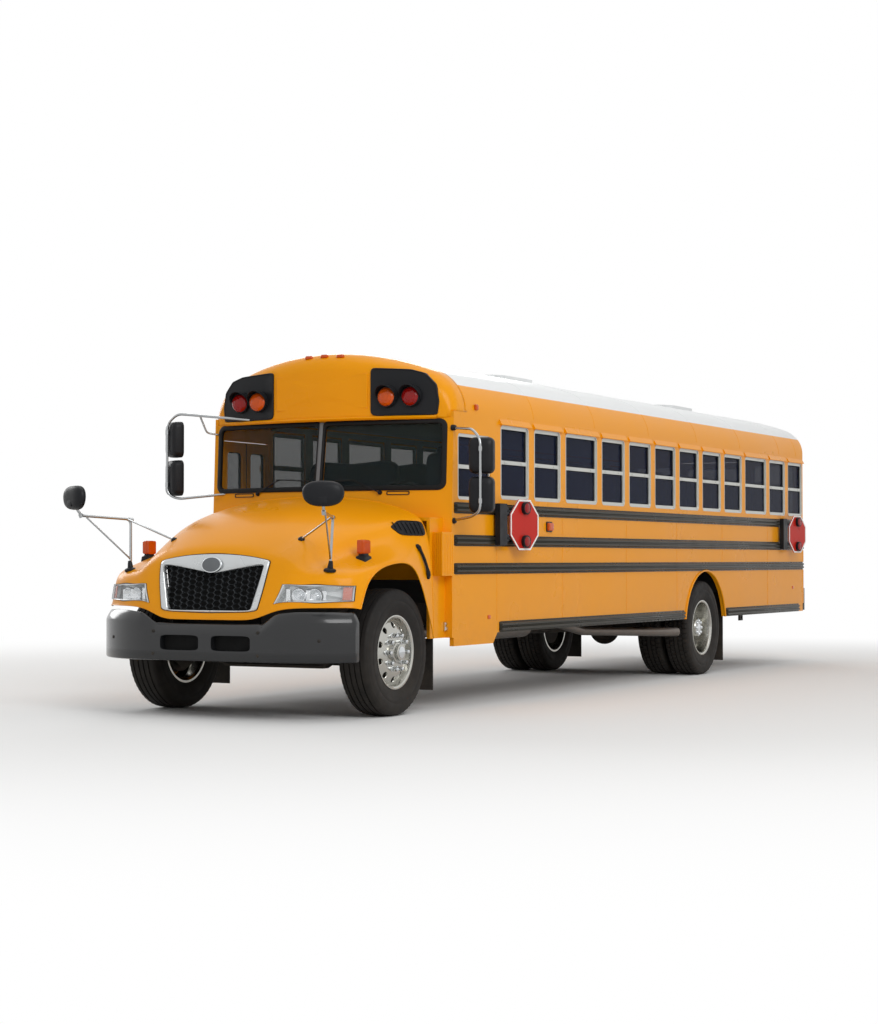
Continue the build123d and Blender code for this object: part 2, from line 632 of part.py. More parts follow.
# Roof: sheets that meet at the roof bows, two of them with a hatch opening, and the rounded rear cap
SHEET_GAP = 0.4
ROOF_JOINTS = [CAP_BACK_X]
for x in HATCH_X:
    ROOF_JOINTS += [x + HATCH_SIZE / 2 + 130, x - HATCH_SIZE / 2 - 130]
ROOF_JOINTS += [REAR_ROOF_SPLIT_X, BODY_REAR - 10]
roof = shell & block(BODY_REAR - 10, CAP_BACK_X, -2000, 2000, ROOF_SPRING_Z, 4000)
hatch_lids = []
for x in HATCH_X:
    half = HATCH_OPENING / 2
    roof -= block(x - half, x + half, -half, half, 2800, 4000)
    hx = x + HATCH_SIZE / 2 + KNUCKLE_R + 8
    hz = ROOF_TOP + KNUCKLE_R + 8
    for y0 in (-200, 140):
        roof += block(hx - 8, hx + 8, y0, y0 + 20, ROOF_TOP - 20, hz)
        roof += block(hx - 8, hx + 8, y0 + 40, y0 + 60, ROOF_TOP - 20, hz)
        roof += rod_y(hx, hz, y0, y0 + 60, PIN_R)
    half = HATCH_SIZE / 2
    band = Pos(0, crown_z) * Circle(CROWN_R + HATCH_RISE) - Pos(0, crown_z) * Circle(CROWN_R + 6)
    band &= Pos(0, ROOF_TOP) * Rectangle(HATCH_SIZE, 200)
    lid = cross_prism(band, x - half, x + half)
    for y0 in (-200, 140):
        lid += block(x + half - 30, hx, y0 + 21, y0 + 39, hz - 6, hz + 6)
        lid += rod_y(hx, hz, y0 + 21, y0 + 39, KNUCKLE_R)
        lid -= rod_y(hx, hz, y0 - 20, y0 + 80, PIN_R + FIT)
    hatch_lids.append(lid)
sheets = []
for front, rear in zip(ROOF_JOINTS[:-1], ROOF_JOINTS[1:-1]):
    sheets.append(roof & block(rear + SHEET_GAP, front, -2000, 2000, 2000, 4000))
# The rear cap is a centre panel between two corner pressings
CAP_PANEL_HALF = 420.0
for y0, y1 in ((-2000, -CAP_PANEL_HALF), (SHEET_GAP - CAP_PANEL_HALF, CAP_PANEL_HALF),
               (CAP_PANEL_HALF + SHEET_GAP, 2000)):
    sheets.append(roof & block(ROOF_JOINTS[-1], ROOF_JOINTS[-2], y0, y1, 2000, 4000))
save("roof", *sheets)
save("front_roof_hatch", hatch_lids[0])
save("rear_roof_hatch", hatch_lids[1])


# Front cap: bowed face whose top edge falls back in two steps; z where a step starts, lean
CAP_STEPS = [(2935.0, -0.6), (2992.0, -1.7)]


def cap_plan(inset):
    w = HALF + 60
    x0, x1 = CAP_BACK_X - 50, bow_x(w, inset)
    return make_face([ThreePointArc((x1, -w), (CAP_CENTRE_X - inset, 0), (x1, w)), Line((x1, w), (x0, w)),
                      Line((x0, w), (x0, -w)), Line((x0, -w), (x1, -w))])


def cap_block(inset, bottom):
    part = cross_prism(arch_face(inset, bottom), CAP_BACK_X - 5, 0)
    for z, fall in CAP_STEPS:
        z -= inset / 2
        upright = plan_prism(cap_plan(inset), bottom - 5, z)
        part &= upright + plan_prism(cap_plan(inset), z, ROOF_TOP + 200, fall)
    return part


cap = cap_block(0, 2400) - cap_block(WALL, 2300)
cap &= (block(BODY_FRONT, 0, -2000, 2000, CAP_BOTTOM_Z, 4000)
        + block(CAP_BACK_X, BODY_FRONT + 1, -2000, 2000, ROOF_SPRING_Z, 4000))
save("front_cap", cap)

rear_wall = shell & block(BODY_REAR - 10, REAR_SPLIT_X, -2000, 2000, REAR_WALL_BOTTOM_Z, ROOF_SPRING_Z)
rear_wall -= cross_prism(panel(-REAR_DOOR_HALF_WIDTH, REAR_DOOR_HALF_WIDTH, REAR_DOOR_BOTTOM_Z,
                               REAR_DOOR_TOP_Z, 40), -11000, BODY_REAR + 200)
rear_glass = []
for side in (-1, 1):
    y0, y1 = sorted((side * REAR_WINDOW_INNER_Y, side * REAR_WINDOW_OUTER_Y))
    hole = panel(y0, y1, REAR_WINDOW_BOTTOM_Z, WINDOW_TOP_Z, 60)
    rear_wall -= cross_prism(hole, -11000, BODY_REAR + 200)
    rear_glass.append(cross_prism(hole, BODY_REAR + 12, BODY_REAR + 12 + GLASS))
rear_pin_x = BODY_REAR - PIN_OUT
rear_pin_y = -REAR_DOOR_HALF_WIDTH + 4
HINGE_ROWS = (0.12, 0.5, 0.88)


def hinge_rows(bottom, top):
    return [bottom + f * (top - bottom) for f in HINGE_ROWS]


for z in hinge_rows(REAR_DOOR_BOTTOM_Z, REAR_DOOR_TOP_Z):
    for z0 in (z - 60, z + 30):
        rear_wall += block(rear_pin_x, BODY_REAR + 5, rear_pin_y - 40, rear_pin_y, z0, z0 + 30)
    rear_wall += rod_z(rear_pin_x, rear_pin_y, z - 60, z + 60, PIN_R)
save("rear_wall", rear_wall)

rear_door_face = panel(-REAR_DOOR_HALF_WIDTH + DOOR_GAP, REAR_DOOR_HALF_WIDTH - DOOR_GAP,
                       REAR_DOOR_BOTTOM_Z + DOOR_GAP, REAR_DOOR_TOP_Z - DOOR_GAP, 35)
REAR_DOOR_PANES = ((1180.0, 1700.0), (1830.0, 2440.0))
pane_y = REAR_DOOR_HALF_WIDTH - 85
door_glass = []
for z0, z1 in REAR_DOOR_PANES:
    hole = panel(-pane_y, pane_y, z0, z1, 50)
    rear_door_face -= hole
    door_glass.append(cross_prism(hole, BODY_REAR + 12, BODY_REAR + 12 + GLASS))
rear_door = cross_prism(rear_door_face, BODY_REAR + 2, BODY_REAR + 2 + LEAF_THICK)
for z in hinge_rows(REAR_DOOR_BOTTOM_Z, REAR_DOOR_TOP_Z):
    rear_door += block(rear_pin_x - 6, BODY_REAR + 4, rear_pin_y + 2, rear_pin_y + 60, z - 28, z + 28)
    rear_door += rod_z(rear_pin_x, rear_pin_y, z - 28, z + 28, KNUCKLE_R)
    rear_door -= rod_z(rear_pin_x, rear_pin_y, z - 28, z + 28, PIN_R + FIT)
save("rear_door", rear_door)
save("rear_door_glass", *door_glass)


# Side walls: one outline with the windows cut, then raised to the wall thickness
def window_spans():
    spans = []
    x = WINDOW_FRONT_X
    for i in range(1, WINDOW_COUNT + 1):
        pitch = PITCH_WIDE if i in WIDE_WINDOWS else PITCH_NARROW
        trim = LAST_WINDOW_TRIM if i == WINDOW_COUNT else 0.0
        spans.append((x - pitch + WINDOW_POST + trim, x))
        x -= pitch
    return spans


spans = window_spans()
REAR_ARCH_R = 628.0
arch_cut = Pos(REAR_AXLE_X, TYRE_R) * Circle(REAR_ARCH_R)
arch_cut += Pos(REAR_AXLE_X, TYRE_R / 2) * Rectangle(2 * REAR_ARCH_R, TYRE_R)
driver_hole = panel(DRIVER_WINDOW_REAR_X, DRIVER_WINDOW_FRONT_X, DRIVER_WINDOW_BOTTOM_Z, DRIVER_WINDOW_TOP_Z,
                    WINDOW_CORNER_R)


def window_hole(x0, x1):
    return panel(x0, x1, WINDOW_BOTTOM_Z, WINDOW_TOP_Z, WINDOW_CORNER_R)


def wall_face(front):
    rear = [(REAR_SPLIT_X, SKIRT_Z), (REAR_SPLIT_X, ROOF_SPRING_Z)]
    face = polygon(front + rear + [(BODY_FRONT, ROOF_SPRING_Z)])
    face -= arch_cut
    for x0, x1 in spans:
        face -= window_hole(x0, x1)
    return face


VISOR_DEPTH = 26.0
visor_face = polygon([(HALF - 2, WINDOW_TOP_Z + 12), (HALF + VISOR_DEPTH, WINDOW_TOP_Z + 6),
                      (HALF + VISOR_DEPTH, WINDOW_TOP_Z + 14), (HALF - 2, WINDOW_TOP_Z + 64)])


def with_visors(wall):
    for x0, x1 in spans:
        wall += cross_prism(visor_face, max(x0 - 30, REAR_SPLIT_X), x1 + 30)
    return wall


left_front = [(BODY_FRONT, FRONT_PANEL_Z), (-1638, FRONT_PANEL_Z), (-1725, SKIRT_Z)]
left_wall = side_prism(wall_face(left_front) - driver_hole, HALF - WALL, HALF)
left_wall = with_visors(left_wall)
right_front = [(BODY_FRONT, DOOR_BOTTOM_Z - 40),
               (DOOR_REAR_X - 60, DOOR_BOTTOM_Z - 40),
               (DOOR_REAR_X - 160, SKIRT_Z)]
doorway = panel(DOOR_REAR_X, DOOR_FRONT_X, DOOR_BOTTOM_Z, DOOR_TOP_Z)
right_wall = mirrored(with_visors(side_prism(wall_face(right_front) - doorway, HALF - WALL, HALF)))

# Entrance door: two leaves on outside hinges at the two edges of the doorway
leaf_mid = (DOOR_FRONT_X + DOOR_REAR_X) / 2
pin_y = -(HALF + PIN_OUT)
LEAF_PANES = ((0.05, 0.45), (0.50, 0.95))
leaf_glass = []
leaves = []
leaf_hinges = []
for edge, sign in ((DOOR_FRONT_X, -1), (DOOR_REAR_X, 1)):
    x0, x1 = sorted((edge + sign * DOOR_GAP, leaf_mid - sign * LEAF_MEETING_GAP / 2))
    z0, z1 = DOOR_BOTTOM_Z + DOOR_GAP, DOOR_TOP_Z - DOOR_GAP
    face = panel(x0, x1, z0, z1)
    panes = []
    for f0, f1 in LEAF_PANES:
        hole = panel(x0 + LEAF_FRAME, x1 - LEAF_FRAME, z0 + f0 * (z1 - z0), z0 + f1 * (z1 - z0), 40)
        face -= hole
        panes.append(side_prism(hole, -HALF + 14, -HALF + 14 + GLASS))
    leaf = side_prism(face, -HALF + 2, -HALF + 2 + LEAF_THICK)
    px = edge + sign * 4
    leaf_hinges.append(px)
    for z in hinge_rows(DOOR_BOTTOM_Z, DOOR_TOP_Z):
        a, b = sorted((px - sign * 40, px))
        for zz in (z - 60, z + 30):
            right_wall += block(a, b, pin_y, -HALF + 5, zz, zz + 30)
        right_wall += rod_z(px, pin_y, z - 60, z + 60, PIN_R)
        a, b = sorted((px + sign * 2, px + sign * 60))
        leaf += block(a, b, pin_y - 6, -HALF + 4, z - 28, z + 28)
        leaf += rod_z(px, pin_y, z - 28, z + 28, KNUCKLE_R)
        leaf -= rod_z(px, pin_y, z - 28, z + 28, PIN_R + FIT)
    leaves.append(leaf)
    leaf_glass.append(panes)
save("left_side_wall", left_wall)
save("right_side_wall", right_wall)
save("entrance_front_leaf", leaves[0])
save("entrance_rear_leaf", leaves[1])
save("entrance_front_glass", *leaf_glass[0])
save("entrance_rear_glass", *leaf_glass[1])

# Side windows: a frame with a middle rail and two panes in each opening
frames, panes = [], []
mid_z = (WINDOW_BOTTOM_Z + WINDOW_TOP_Z) / 2
deep = HALF - 8


def window_set(hole, x0, x1, z0, z1, zm):
    lower = panel(x0 + WINDOW_FRAME, x1 - WINDOW_FRAME, z0 + WINDOW_FRAME, zm - WINDOW_RAIL / 2, 12)
    upper = panel(x0 + WINDOW_FRAME, x1 - WINDOW_FRAME, zm + WINDOW_RAIL / 2, z1 - WINDOW_FRAME, 12)
    frame_solid = side_prism(hole - lower - upper, deep - WINDOW_FRAME_DEPTH, deep)
    low_pane = side_prism(lower, deep - 14 - GLASS, deep - 14)
    high_pane = side_prism(upper, deep - 22 - GLASS, deep - 22)
    return frame_solid, [low_pane, high_pane]


for x0, x1 in spans:
    f, p = window_set(window_hole(x0, x1), x0, x1, WINDOW_BOTTOM_Z, WINDOW_TOP_Z, mid_z)
    frames += [f, mirrored(f)]
    panes += p + [mirrored(q) for q in p]
f, p = window_set(driver_hole, DRIVER_WINDOW_REAR_X, DRIVER_WINDOW_FRONT_X, DRIVER_WINDOW_BOTTOM_Z,
                  DRIVER_WINDOW_TOP_Z, (DRIVER_WINDOW_BOTTOM_Z + DRIVER_WINDOW_TOP_Z) / 2)
frames.append(f)
panes += p
save("side_window_frames", *frames)
save("window_glass", *panes, *rear_glass)

# Rub rails
rails = []
for z in RAIL_Z:
    low, high = z - RAIL_HEIGHT / 2, z + RAIL_HEIGHT / 2
    rails.append(block(REAR_SPLIT_X, BODY_FRONT - 4, HALF, HALF + RAIL_DEPTH, low, high))
    rails.append(block(REAR_SPLIT_X, DOOR_REAR_X - 50, -HALF - RAIL_DEPTH, -HALF, low, high))
SKIRT_RAIL_REAR_X = -10210.0
for x0, x1 in ((REAR_AXLE_X + 650, -1757), (SKIRT_RAIL_REAR_X, REAR_AXLE_X - 650)):
    x2 = min(x1, DOOR_REAR_X - 170)
    rails.append(block(x0, x1, HALF, HALF + RAIL_DEPTH, SKIRT_Z, SKIRT_Z + RAIL_HEIGHT))
    rails.append(block(x0, x2, -HALF - RAIL_DEPTH, -HALF, SKIRT_Z, SKIRT_Z + RAIL_HEIGHT))
save("rub_rails", *rails)


# Cowl: bowed screen wall, side cheeks, shelf behind the bonnet, dash wall, vent boxes
def bow_band(inset, sheet_in, width, centre_x):
    edges = []
    a, b = BOW_R - inset, BOW_R - inset - sheet_in
    cx = centre_x - BOW_R
    pts = [(cx + math.sqrt(r * r - width * width), width, cx + r) for r in (a, b)]
    edges.append(ThreePointArc((pts[0][0], -width), (pts[0][2], 0), (pts[0][0], width)))
    edges.append(Line((pts[0][0], width), (pts[1][0], width)))
    edges.append(ThreePointArc((pts[1][0], width), (pts[1][2], 0), (pts[1][0], -width)))
    edges.append(Line((pts[1][0], -width), (pts[0][0], -width)))
    return make_face(edges)


def screen_face(z, shift, thickness):
    centre_x, side_x = (BASE_BOW if z == COWL_BASE_Z else TOP_BOW)
    a, b = centre_x - shift, side_x - shift
    t = thickness
    edges = [ThreePointArc((b, -HALF), (a, 0), (b, HALF)), Line((b, HALF), (b - t, HALF)),
             ThreePointArc((b - t, HALF), (a - t, 0), (b - t, -HALF)), Line((b - t, -HALF), (b, -HALF))]
    return Pos(0, 0, z) * make_face(edges)


def screen_wall(shift, thickness):
    ends = [screen_face(z, shift, thickness) for z in (COWL_BASE_Z, CAP_BOTTOM_Z)]
    return loft(ends, ruled=True)


SCREEN_WALL = 50.0
cowl = screen_wall(0, SCREEN_WALL)
cowl &= (block(BODY_FRONT, 0, -HALF, HALF, 0, 4000)
         + block(-1100, BODY_FRONT, WALL - HALF, HALF - WALL, 0, 4000))
screen_holes = []
for side in (-1, 1):
    y0, y1 = sorted((side * SCREEN_POST / 2, side * SCREEN_HALF_WIDTH))
    hole = panel(y0, y1, SCREEN_BOTTOM_Z, SCREEN_TOP_Z, 45)
    screen_holes.append(hole)
    cowl -= cross_prism(hole, -1200, 0)
shelf = plan_prism(bow_band(-300, 360, COWL_HALF_WIDTH, -640), COWL_SHELF_Z, COWL_SHELF_Z + COWL_SHEET)
cowl += shelf & block(BODY_FRONT, COWL_FRONT_X, -COWL_HALF_WIDTH, COWL_HALF_WIDTH, 0, 4000)
cowl += block(BODY_FRONT, BODY_FRONT + COWL_SHEET, -COWL_HALF_WIDTH, COWL_HALF_WIDTH,
              FLOOR_TOP_Z, COWL_SHELF_Z + 20)
for side in (-1, 1):
    y0, y1 = sorted((side * COWL_HALF_WIDTH, side * (COWL_HALF_WIDTH - COWL_SHEET)))
    cowl += block(BODY_FRONT, COWL_FRONT_X, y0, y1, COWL_BOTTOM_Z, COWL_SHELF_Z + COWL_SHEET)
    y0, y1 = sorted((side * COWL_HALF_WIDTH, side * HALF))
    cowl += block(BODY_FRONT, BODY_FRONT + COWL_SHEET, y0, y1, COWL_BOTTOM_Z, COWL_BASE_Z + 20)
    y0, y1 = sorted((side * (COWL_HALF_WIDTH - 5), side * (HALF + 20)))
    cowl += block(-850, -640, y0, y1, 1138, 1507)
save("cowl", cowl)

screen_panes = []
pane_wall = screen_wall(18, GLASS + 2)
for hole in screen_holes:
    screen_panes.append(pane_wall & cross_prism(hole, -1200, 0))
save("windscreen", *screen_panes)

# Floor: sheets with cross sills that meet round the step well, and a wheel housing let into each side
floor_half = HALF - WALL
slab_bottom = FLOOR_TOP_Z - FLOOR_SLAB
HOUSING_X = 665.0
HOUSING_IN_Y = 575.0
HOUSING_TOP_Z = 1250.0
HOUSING_SHEET = 20.0
FRONT_SILL_WIDTH = 45.0
step_in_y = -HALF + STEP_COUNT * STEP_DEPTH + 10
floor = block(REAR_SPLIT_X, BODY_FRONT, -floor_half, floor_half, slab_bottom, FLOOR_TOP_Z)
inner_half = floor_half - REAR_CORNER_R + WALL
floor += block(BODY_REAR + WALL, REAR_SPLIT_X, -inner_half, inner_half, slab_bottom, FLOOR_TOP_Z)
for i in range(14):
    x = REAR_FLAP_X + 694 * (i - 3.0)
    if x > DOOR_REAR_X + 60 - 400 or x < BODY_REAR + 100:
        continue
    w = floor_half if abs(x - REAR_AXLE_X) > HOUSING_X - 40 else HOUSING_IN_Y - 5
    floor += block(x - SILL_WIDTH / 2, x + SILL_WIDTH / 2, -w, w, FRAME_TOP_Z, slab_bottom)
floor += block(BODY_FRONT - FRONT_SILL_WIDTH, BODY_FRONT, -floor_half, floor_half, FRAME_TOP_Z, slab_bottom)
floor -= block(DOOR_REAR_X, DOOR_FRONT_X, -2000, step_in_y, 0, 4000)
x0, x1 = REAR_AXLE_X - HOUSING_X, REAR_AXLE_X + HOUSING_X
s, g = HOUSING_SHEET, SHEET_GAP
housing = block(x0 + g, x1 - g, HOUSING_IN_Y + g, floor_half, slab_bottom + g, HOUSING_TOP_Z)
housing_space = block(x0 + s, x1 - s, HOUSING_IN_Y + s, floor_half + 10, 0, HOUSING_TOP_Z - s)
housing -= housing_space
housing_notch = block(x0, x1, HOUSING_IN_Y, floor_half + 10, slab_bottom, HOUSING_TOP_Z) + housing_space
floor -= housing_notch
floor -= mirrored(housing_notch)
floor -= block(DOOR_REAR_X - SHEET_GAP, DOOR_REAR_X, -2000, 2000, 0, 4000)
floor -= block(DOOR_REAR_X, 0, step_in_y, step_in_y + SHEET_GAP, 0, 4000)
save("floor", *floor.solids(), housing, mirrored(housing))

# Entrance steps: treads and risers between two side plates
step_rise = (FLOOR_TOP_Z - STEP_BOTTOM_Z) / STEP_COUNT
treads = None
for i in range(STEP_COUNT):
    y0 = -floor_half + 4 + i * STEP_DEPTH
    z0 = STEP_BOTTOM_Z + i * step_rise
    y1 = step_in_y if i == STEP_COUNT - 1 else y0 + STEP_DEPTH
    part = block(DOOR_REAR_X, DOOR_FRONT_X, y0, y1, z0 - STEP_SHEET, z0)
    if i:
        part += block(DOOR_REAR_X, DOOR_FRONT_X, y0, y0 + STEP_SHEET, z0 - step_rise - STEP_SHEET, z0)
    treads = part if treads is None else treads + part
for x0 in (DOOR_REAR_X, DOOR_FRONT_X - 20):
    side_plate = block(x0, x0 + 20, -floor_half + 4, step_in_y, STEP_BOTTOM_Z - STEP_SHEET, FLOOR_TOP_Z)
    treads += side_plate
treads += block(DOOR_REAR_X, DOOR_FRONT_X, step_in_y - STEP_SHEET, step_in_y,
                FLOOR_TOP_Z - step_rise - 20, FLOOR_TOP_Z)
save("entrance_steps", treads)


# Bonnet: lofted sections, one skin inside the other, trimmed in plan and by the wheel arches
# x, crown z, ridge y, ridge z, shoulder y, shoulder z, side y, side z
HOOD_STATIONS = [
    (-545, 1815, 1040, 1650, 1110, 1590, 1195, 1250),
    (-100, 1752, 930, 1595, 1112, 1465, 1200, 1240),
    (350, 1645, 790, 1480, 1092, 1355, 1203, 1190),
    (750, 1482, 665, 1340, 1042, 1205, 1202, 1090),
    (1080, 1290, 570, 1215, 985, 1060, 1198, 970)]


def hood_section(row, inset, x):
    _, crown, ry, rz, sy, sz, wy, wz = row
    i = inset
    low = 500.0 - i
    right = [(wy - i, low), (wy - i, wz - i * 0.6), (sy - i * 0.7, sz - i * 0.8), (ry - i * 0.4, rz - i)]
    left = [(-y, z) for y, z in right]
    edges = [Line(left[0], right[0]), Line(right[0], right[1]), Line(right[1], right[2]),
             Line(right[2], right[3]), ThreePointArc(right[3], (0, crown - i), left[3]),
             Line(left[3], left[2]), Line(left[2], left[1]), Line(left[1], left[0])]
    return cross_plane(x) * make_face(edges)


def nose_plan(inset):
    base = NOSE_X + NOSE_LEAN * (NOSE_BOTTOM_Z - 400) - inset
    side_y = 1230 - inset
    edges = [Line((base, -400), (base, 400)),
             ThreePointArc((base, 400), (base - 130, 850), (base - 385, side_y - 8)),
             Line((base - 385, side_y - 8), (-900, side_y)),
             Line((-900, side_y), (-900, -side_y)),
             Line((-900, -side_y), (base - 385, 8 - side_y)),
             ThreePointArc((base - 385, 8 - side_y), (base - 130, -850), (base, -400))]
    return plan_prism(make_face(edges), 400, 2000, -NOSE_LEAN)


def hood_body(inset):
    sections = [hood_section(row, inset, row[0] - (15 if inset and row[0] < 0 and row[0] < -300 else 0))
                for row in HOOD_STATIONS]
    return loft(sections) & nose_plan(inset)


hood_outer = hood_body(0)
hood_inner = hood_body(HOOD_SHEET)
# Wheel arch outline: x, z
ARCH = [(-700, 400), (-560, 560), (-545, 625), (-345, 1125), (-130, 1256),
        (430, 1185), (640, 975), (672, 860), (672, 400)]
arch_face_cut = polygon(ARCH)
front_trim = block(660, 1300, 630, 1400, 300, FENDER_BOTTOM_Z)
hood = hood_outer - hood_inner - side_prism(arch_face_cut, -1500, 1500)
hood -= front_trim
hood -= mirrored(front_trim)
hood -= block(400, 1300, -700, 700, 300, NOSE_BOTTOM_Z)
hood -= block(-700, -400, -1500, 1500, 300, COWL_BOTTOM_Z)

# Grille in the leaning nose plane; headlamps cut from the same skin
nose_angle = math.degrees(math.atan(NOSE_LEAN))
nose_plane = Plane(origin=(NOSE_X, 0, NOSE_BOTTOM_Z), x_dir=(0, 1, 0),
                   z_dir=(math.cos(math.radians(nose_angle)), 0, math.sin(math.radians(nose_angle))))
GRILLE = [(-430, 34), (430, 34), (528, 420), (505, 462), (-505, 462), (-528, 420)]


def nose_prism(face, low, high):
    return extrude(nose_plane * Pos(0, 0, low) * face, amount=high - low, dir=nose_plane.z_dir)


grille_face = polygon(GRILLE)
mesh_face = offset(grille_face, amount=-38)
hood -= nose_prism(offset(grille_face, amount=0.4), -60, 80)
surround = nose_prism(grille_face, -HOOD_SHEET, 14) - nose_prism(mesh_face, -80, 80)
mesh = nose_prism(mesh_face, -HOOD_SHEET + 6, -HOOD_SHEET + 16)
save("grille_surround", surround)
save("grille_mesh", mesh)
LAMP = [(630, 930), (712, 1070), (1150, 1070), (1178, 1040), (1178, 950), (1120, 930)]
lamp_cut = cross_prism(polygon(LAMP), 620, 1100)
lamps = []
lamp_skin = hood_outer - hood_body(HOOD_SHEET - 4)
for cut in (lamp_cut, mirrored(lamp_cut)):
    lamps.append(lamp_skin & cut)
    hood -= cut
for side in (-1, 1):
    y0, y1 = sorted((side * 482, side * 520))
    hood += block(HOOD_PIVOT_X, 1004, y0, y1, HOOD_PIVOT_Z - 15, HOOD_PIVOT_Z + 15)
    hood += rod_y(HOOD_PIVOT_X, HOOD_PIVOT_Z, y0, y1, 26)
    hood -= rod_y(HOOD_PIVOT_X, HOOD_PIVOT_Z, y0 - 1, y1 + 1, HOOD_PIN_R + FIT)
save("hood", hood)
save("headlamps", *lamps)

# Crossview mirrors on the bonnet sides
CROSS_BASE = (742.0, 968.0)
CROSS_LENS = dict(half_width=162.0, half_height=100.0, half_depth=42.0, turn=25.0)
turn = math.radians(CROSS_LENS["turn"])
cross_reach = CROSS_LENS["half_depth"] * math.cos(turn) + CROSS_LENS["half_width"] * math.sin(turn)
CROSS_HEAD = (MIRROR_REACH_X - cross_reach, 1190.0, 1780.0)
cross_z = 1218.0
lens_face = Plane.YZ * Ellipse(CROSS_LENS["half_width"], CROSS_LENS["half_height"])
lens_body = extrude(lens_face, amount=CROSS_LENS["half_depth"], both=True)
head = Pos(*CROSS_HEAD) * Rot(0, 0, CROSS_LENS["turn"]) * lens_body
CROSS_POST_TOP_Z = 1610.0
CROSS_ARM_R = 12.0
arm = tube([(CROSS_BASE[0], CROSS_BASE[1], cross_z),
            (CROSS_BASE[0] - 22, CROSS_BASE[1] + 12, CROSS_POST_TOP_Z),
            (CROSS_HEAD[0] - 60, CROSS_HEAD[1] - 30, CROSS_POST_TOP_Z + 25),
            (CROSS_HEAD[0] - 10, CROSS_HEAD[1] - 5, CROSS_HEAD[2] - 50)], CROSS_ARM_R, 45)
foot = rod_z(CROSS_BASE[0], CROSS_BASE[1], cross_z - 30, cross_z + 14, 45)
cross_mirror = head + arm + foot
cross_mirror -= hood_outer
cross_solid = cross_mirror.solids().sort_by(SortBy.VOLUME)[-1]
save("crossview_mirrors", cross_solid, mirrored(cross_solid))

# Side mirrors on tube arms
# side, arm x, top z, bottom z, upper root (x, y, z), lower root (x, y, z)
MIRRORS = [(1, -787.0, 2308.0, 1667.0, (-900.0, 1189.0, 2400.0), (-900.0, 1189.0, 1605.0)),
           (-1, -640.0, 2520.0, 1850.0, (-775.0, 750.0, 2518.0), (-830.0, 1048.0, 1866.0))]
MIRROR_ARM_R = 12.0
MIRROR_HALF_WIDTH = 110.0
mirror_parts = []
for side, x, top, bottom, upper_root, lower_root in MIRRORS:
    out = MIRROR_REACH_Y - MIRROR_HALF_WIDTH
    path = [upper_root, (x, out - 80, top + 75), (x, out, top - 20), (x, out, bottom + 20),
            (x, out - 80, bottom - 25), lower_root]
    arm = tube(path, MIRROR_ARM_R, 40)
    split = (top + bottom) / 2
    for z0, z1 in ((bottom, split - 12), (split + 12, top)):
        face = panel(out - MIRROR_HALF_WIDTH, out + MIRROR_HALF_WIDTH, z0, z1, 45)
        arm += cross_prism(face, x - 75, x + 30)
    if side < 0:
        arm = mirrored(arm)
    for neighbour in (cowl, cap, left_wall, right_wall):
        arm -= neighbour
    mirror_parts.append(arm.solids().sort_by(SortBy.VOLUME)[-1])
save("side_mirrors", *mirror_parts)

# Stop arms: housing on the rails, sign on an upright pin at the front edge
signs, housings = [], []
for hinge_x in STOP_HINGE_X:
    outer = HALF + RAIL_DEPTH
    housing = block(hinge_x + 26, hinge_x + 170, outer, outer + 50, STOP_SIGN_Z - 185, STOP_SIGN_Z + 185)
    for z0 in (STOP_SIGN_Z - 150, STOP_SIGN_Z + 90):
        housing += block(hinge_x - 10, hinge_x + 30, STOP_PIN_Y - 10, STOP_PIN_Y + 10, z0, z0 + 20)
        housing += block(hinge_x - 10, hinge_x + 30, STOP_PIN_Y - 10, STOP_PIN_Y + 10, z0 + 42, z0 + 62)
        housing += rod_z(hinge_x, STOP_PIN_Y, z0, z0 + 62, PIN_R)
    housings.append(housing)
    octagon = RegularPolygon(STOP_SIGN / 2, 8, major_radius=False, rotation=22.5)
    sign = side_prism(Pos(-40 - STOP_SIGN / 2, 0) * octagon, -5, 5)
    for z0 in (-150 + 21, 90 + 21):
        sign += block(-80, 0, -5, 5, z0, z0 + 20)
        sign += rod_z(0, 0, z0, z0 + 20, KNUCKLE_R)
        sign -= rod_z(0, 0, z0 - 5, z0 + 25, PIN_R + FIT)
    for z in (-150, 150):
        sign += rod_y(-40 - STOP_SIGN / 2, z, -28, 28, 48)
    signs.append(Pos(hinge_x, STOP_PIN_Y, STOP_SIGN_Z) * Rot(0, 0, -STOP_AJAR) * sign)
save("front_stop_arm", signs[0])
save("rear_stop_arm", signs[1])
save("stop_arm_housings", *housings)

# Warning lamp panels on the front cap and the rear wall
PANEL = [(495, 2555), (1080, 2555), (1080, 2740), (960, 2900), (495, 2925)]
lamp_panels = []
panel_skin = plan_prism(bow_band(-14, 14, HALF, CAP_CENTRE_X), 2500, 3000)
panel_cut = cross_prism(polygon(PANEL), -1200, 0)
for cut in (panel_cut, mirrored(panel_cut)):
    lamp_panels.append(panel_skin & cut)
for y in (660, 895):
    x = bow_x(y, 0)
    drum = rod_x(y, 2697, x - 10, x + 70, 88)
    lamp_panels[0] += drum
    lamp_panels[1] += mirrored(drum)
lamp_panels = [lamp_panel - cap for lamp_panel in lamp_panels]
rear_lamps = []
for side in (-1, 1):
    for y in (690, 930):
        rear_lamps.append(rod_x(side * y, 2660, BODY_REAR - 40, BODY_REAR, 88))
    for z in (1020, 1230, 1440):
        rear_lamps.append(rod_x(side * 990, z, BODY_REAR - 26, BODY_REAR, 88))
save("lamps", *lamp_panels, *rear_lamps)

# Cabin: benches, driver's seat, dashboard with column, steering wheel
SEAT_PITCH = 690.0
SEAT_ROWS = 12
BENCH_WIDTH = 980.0
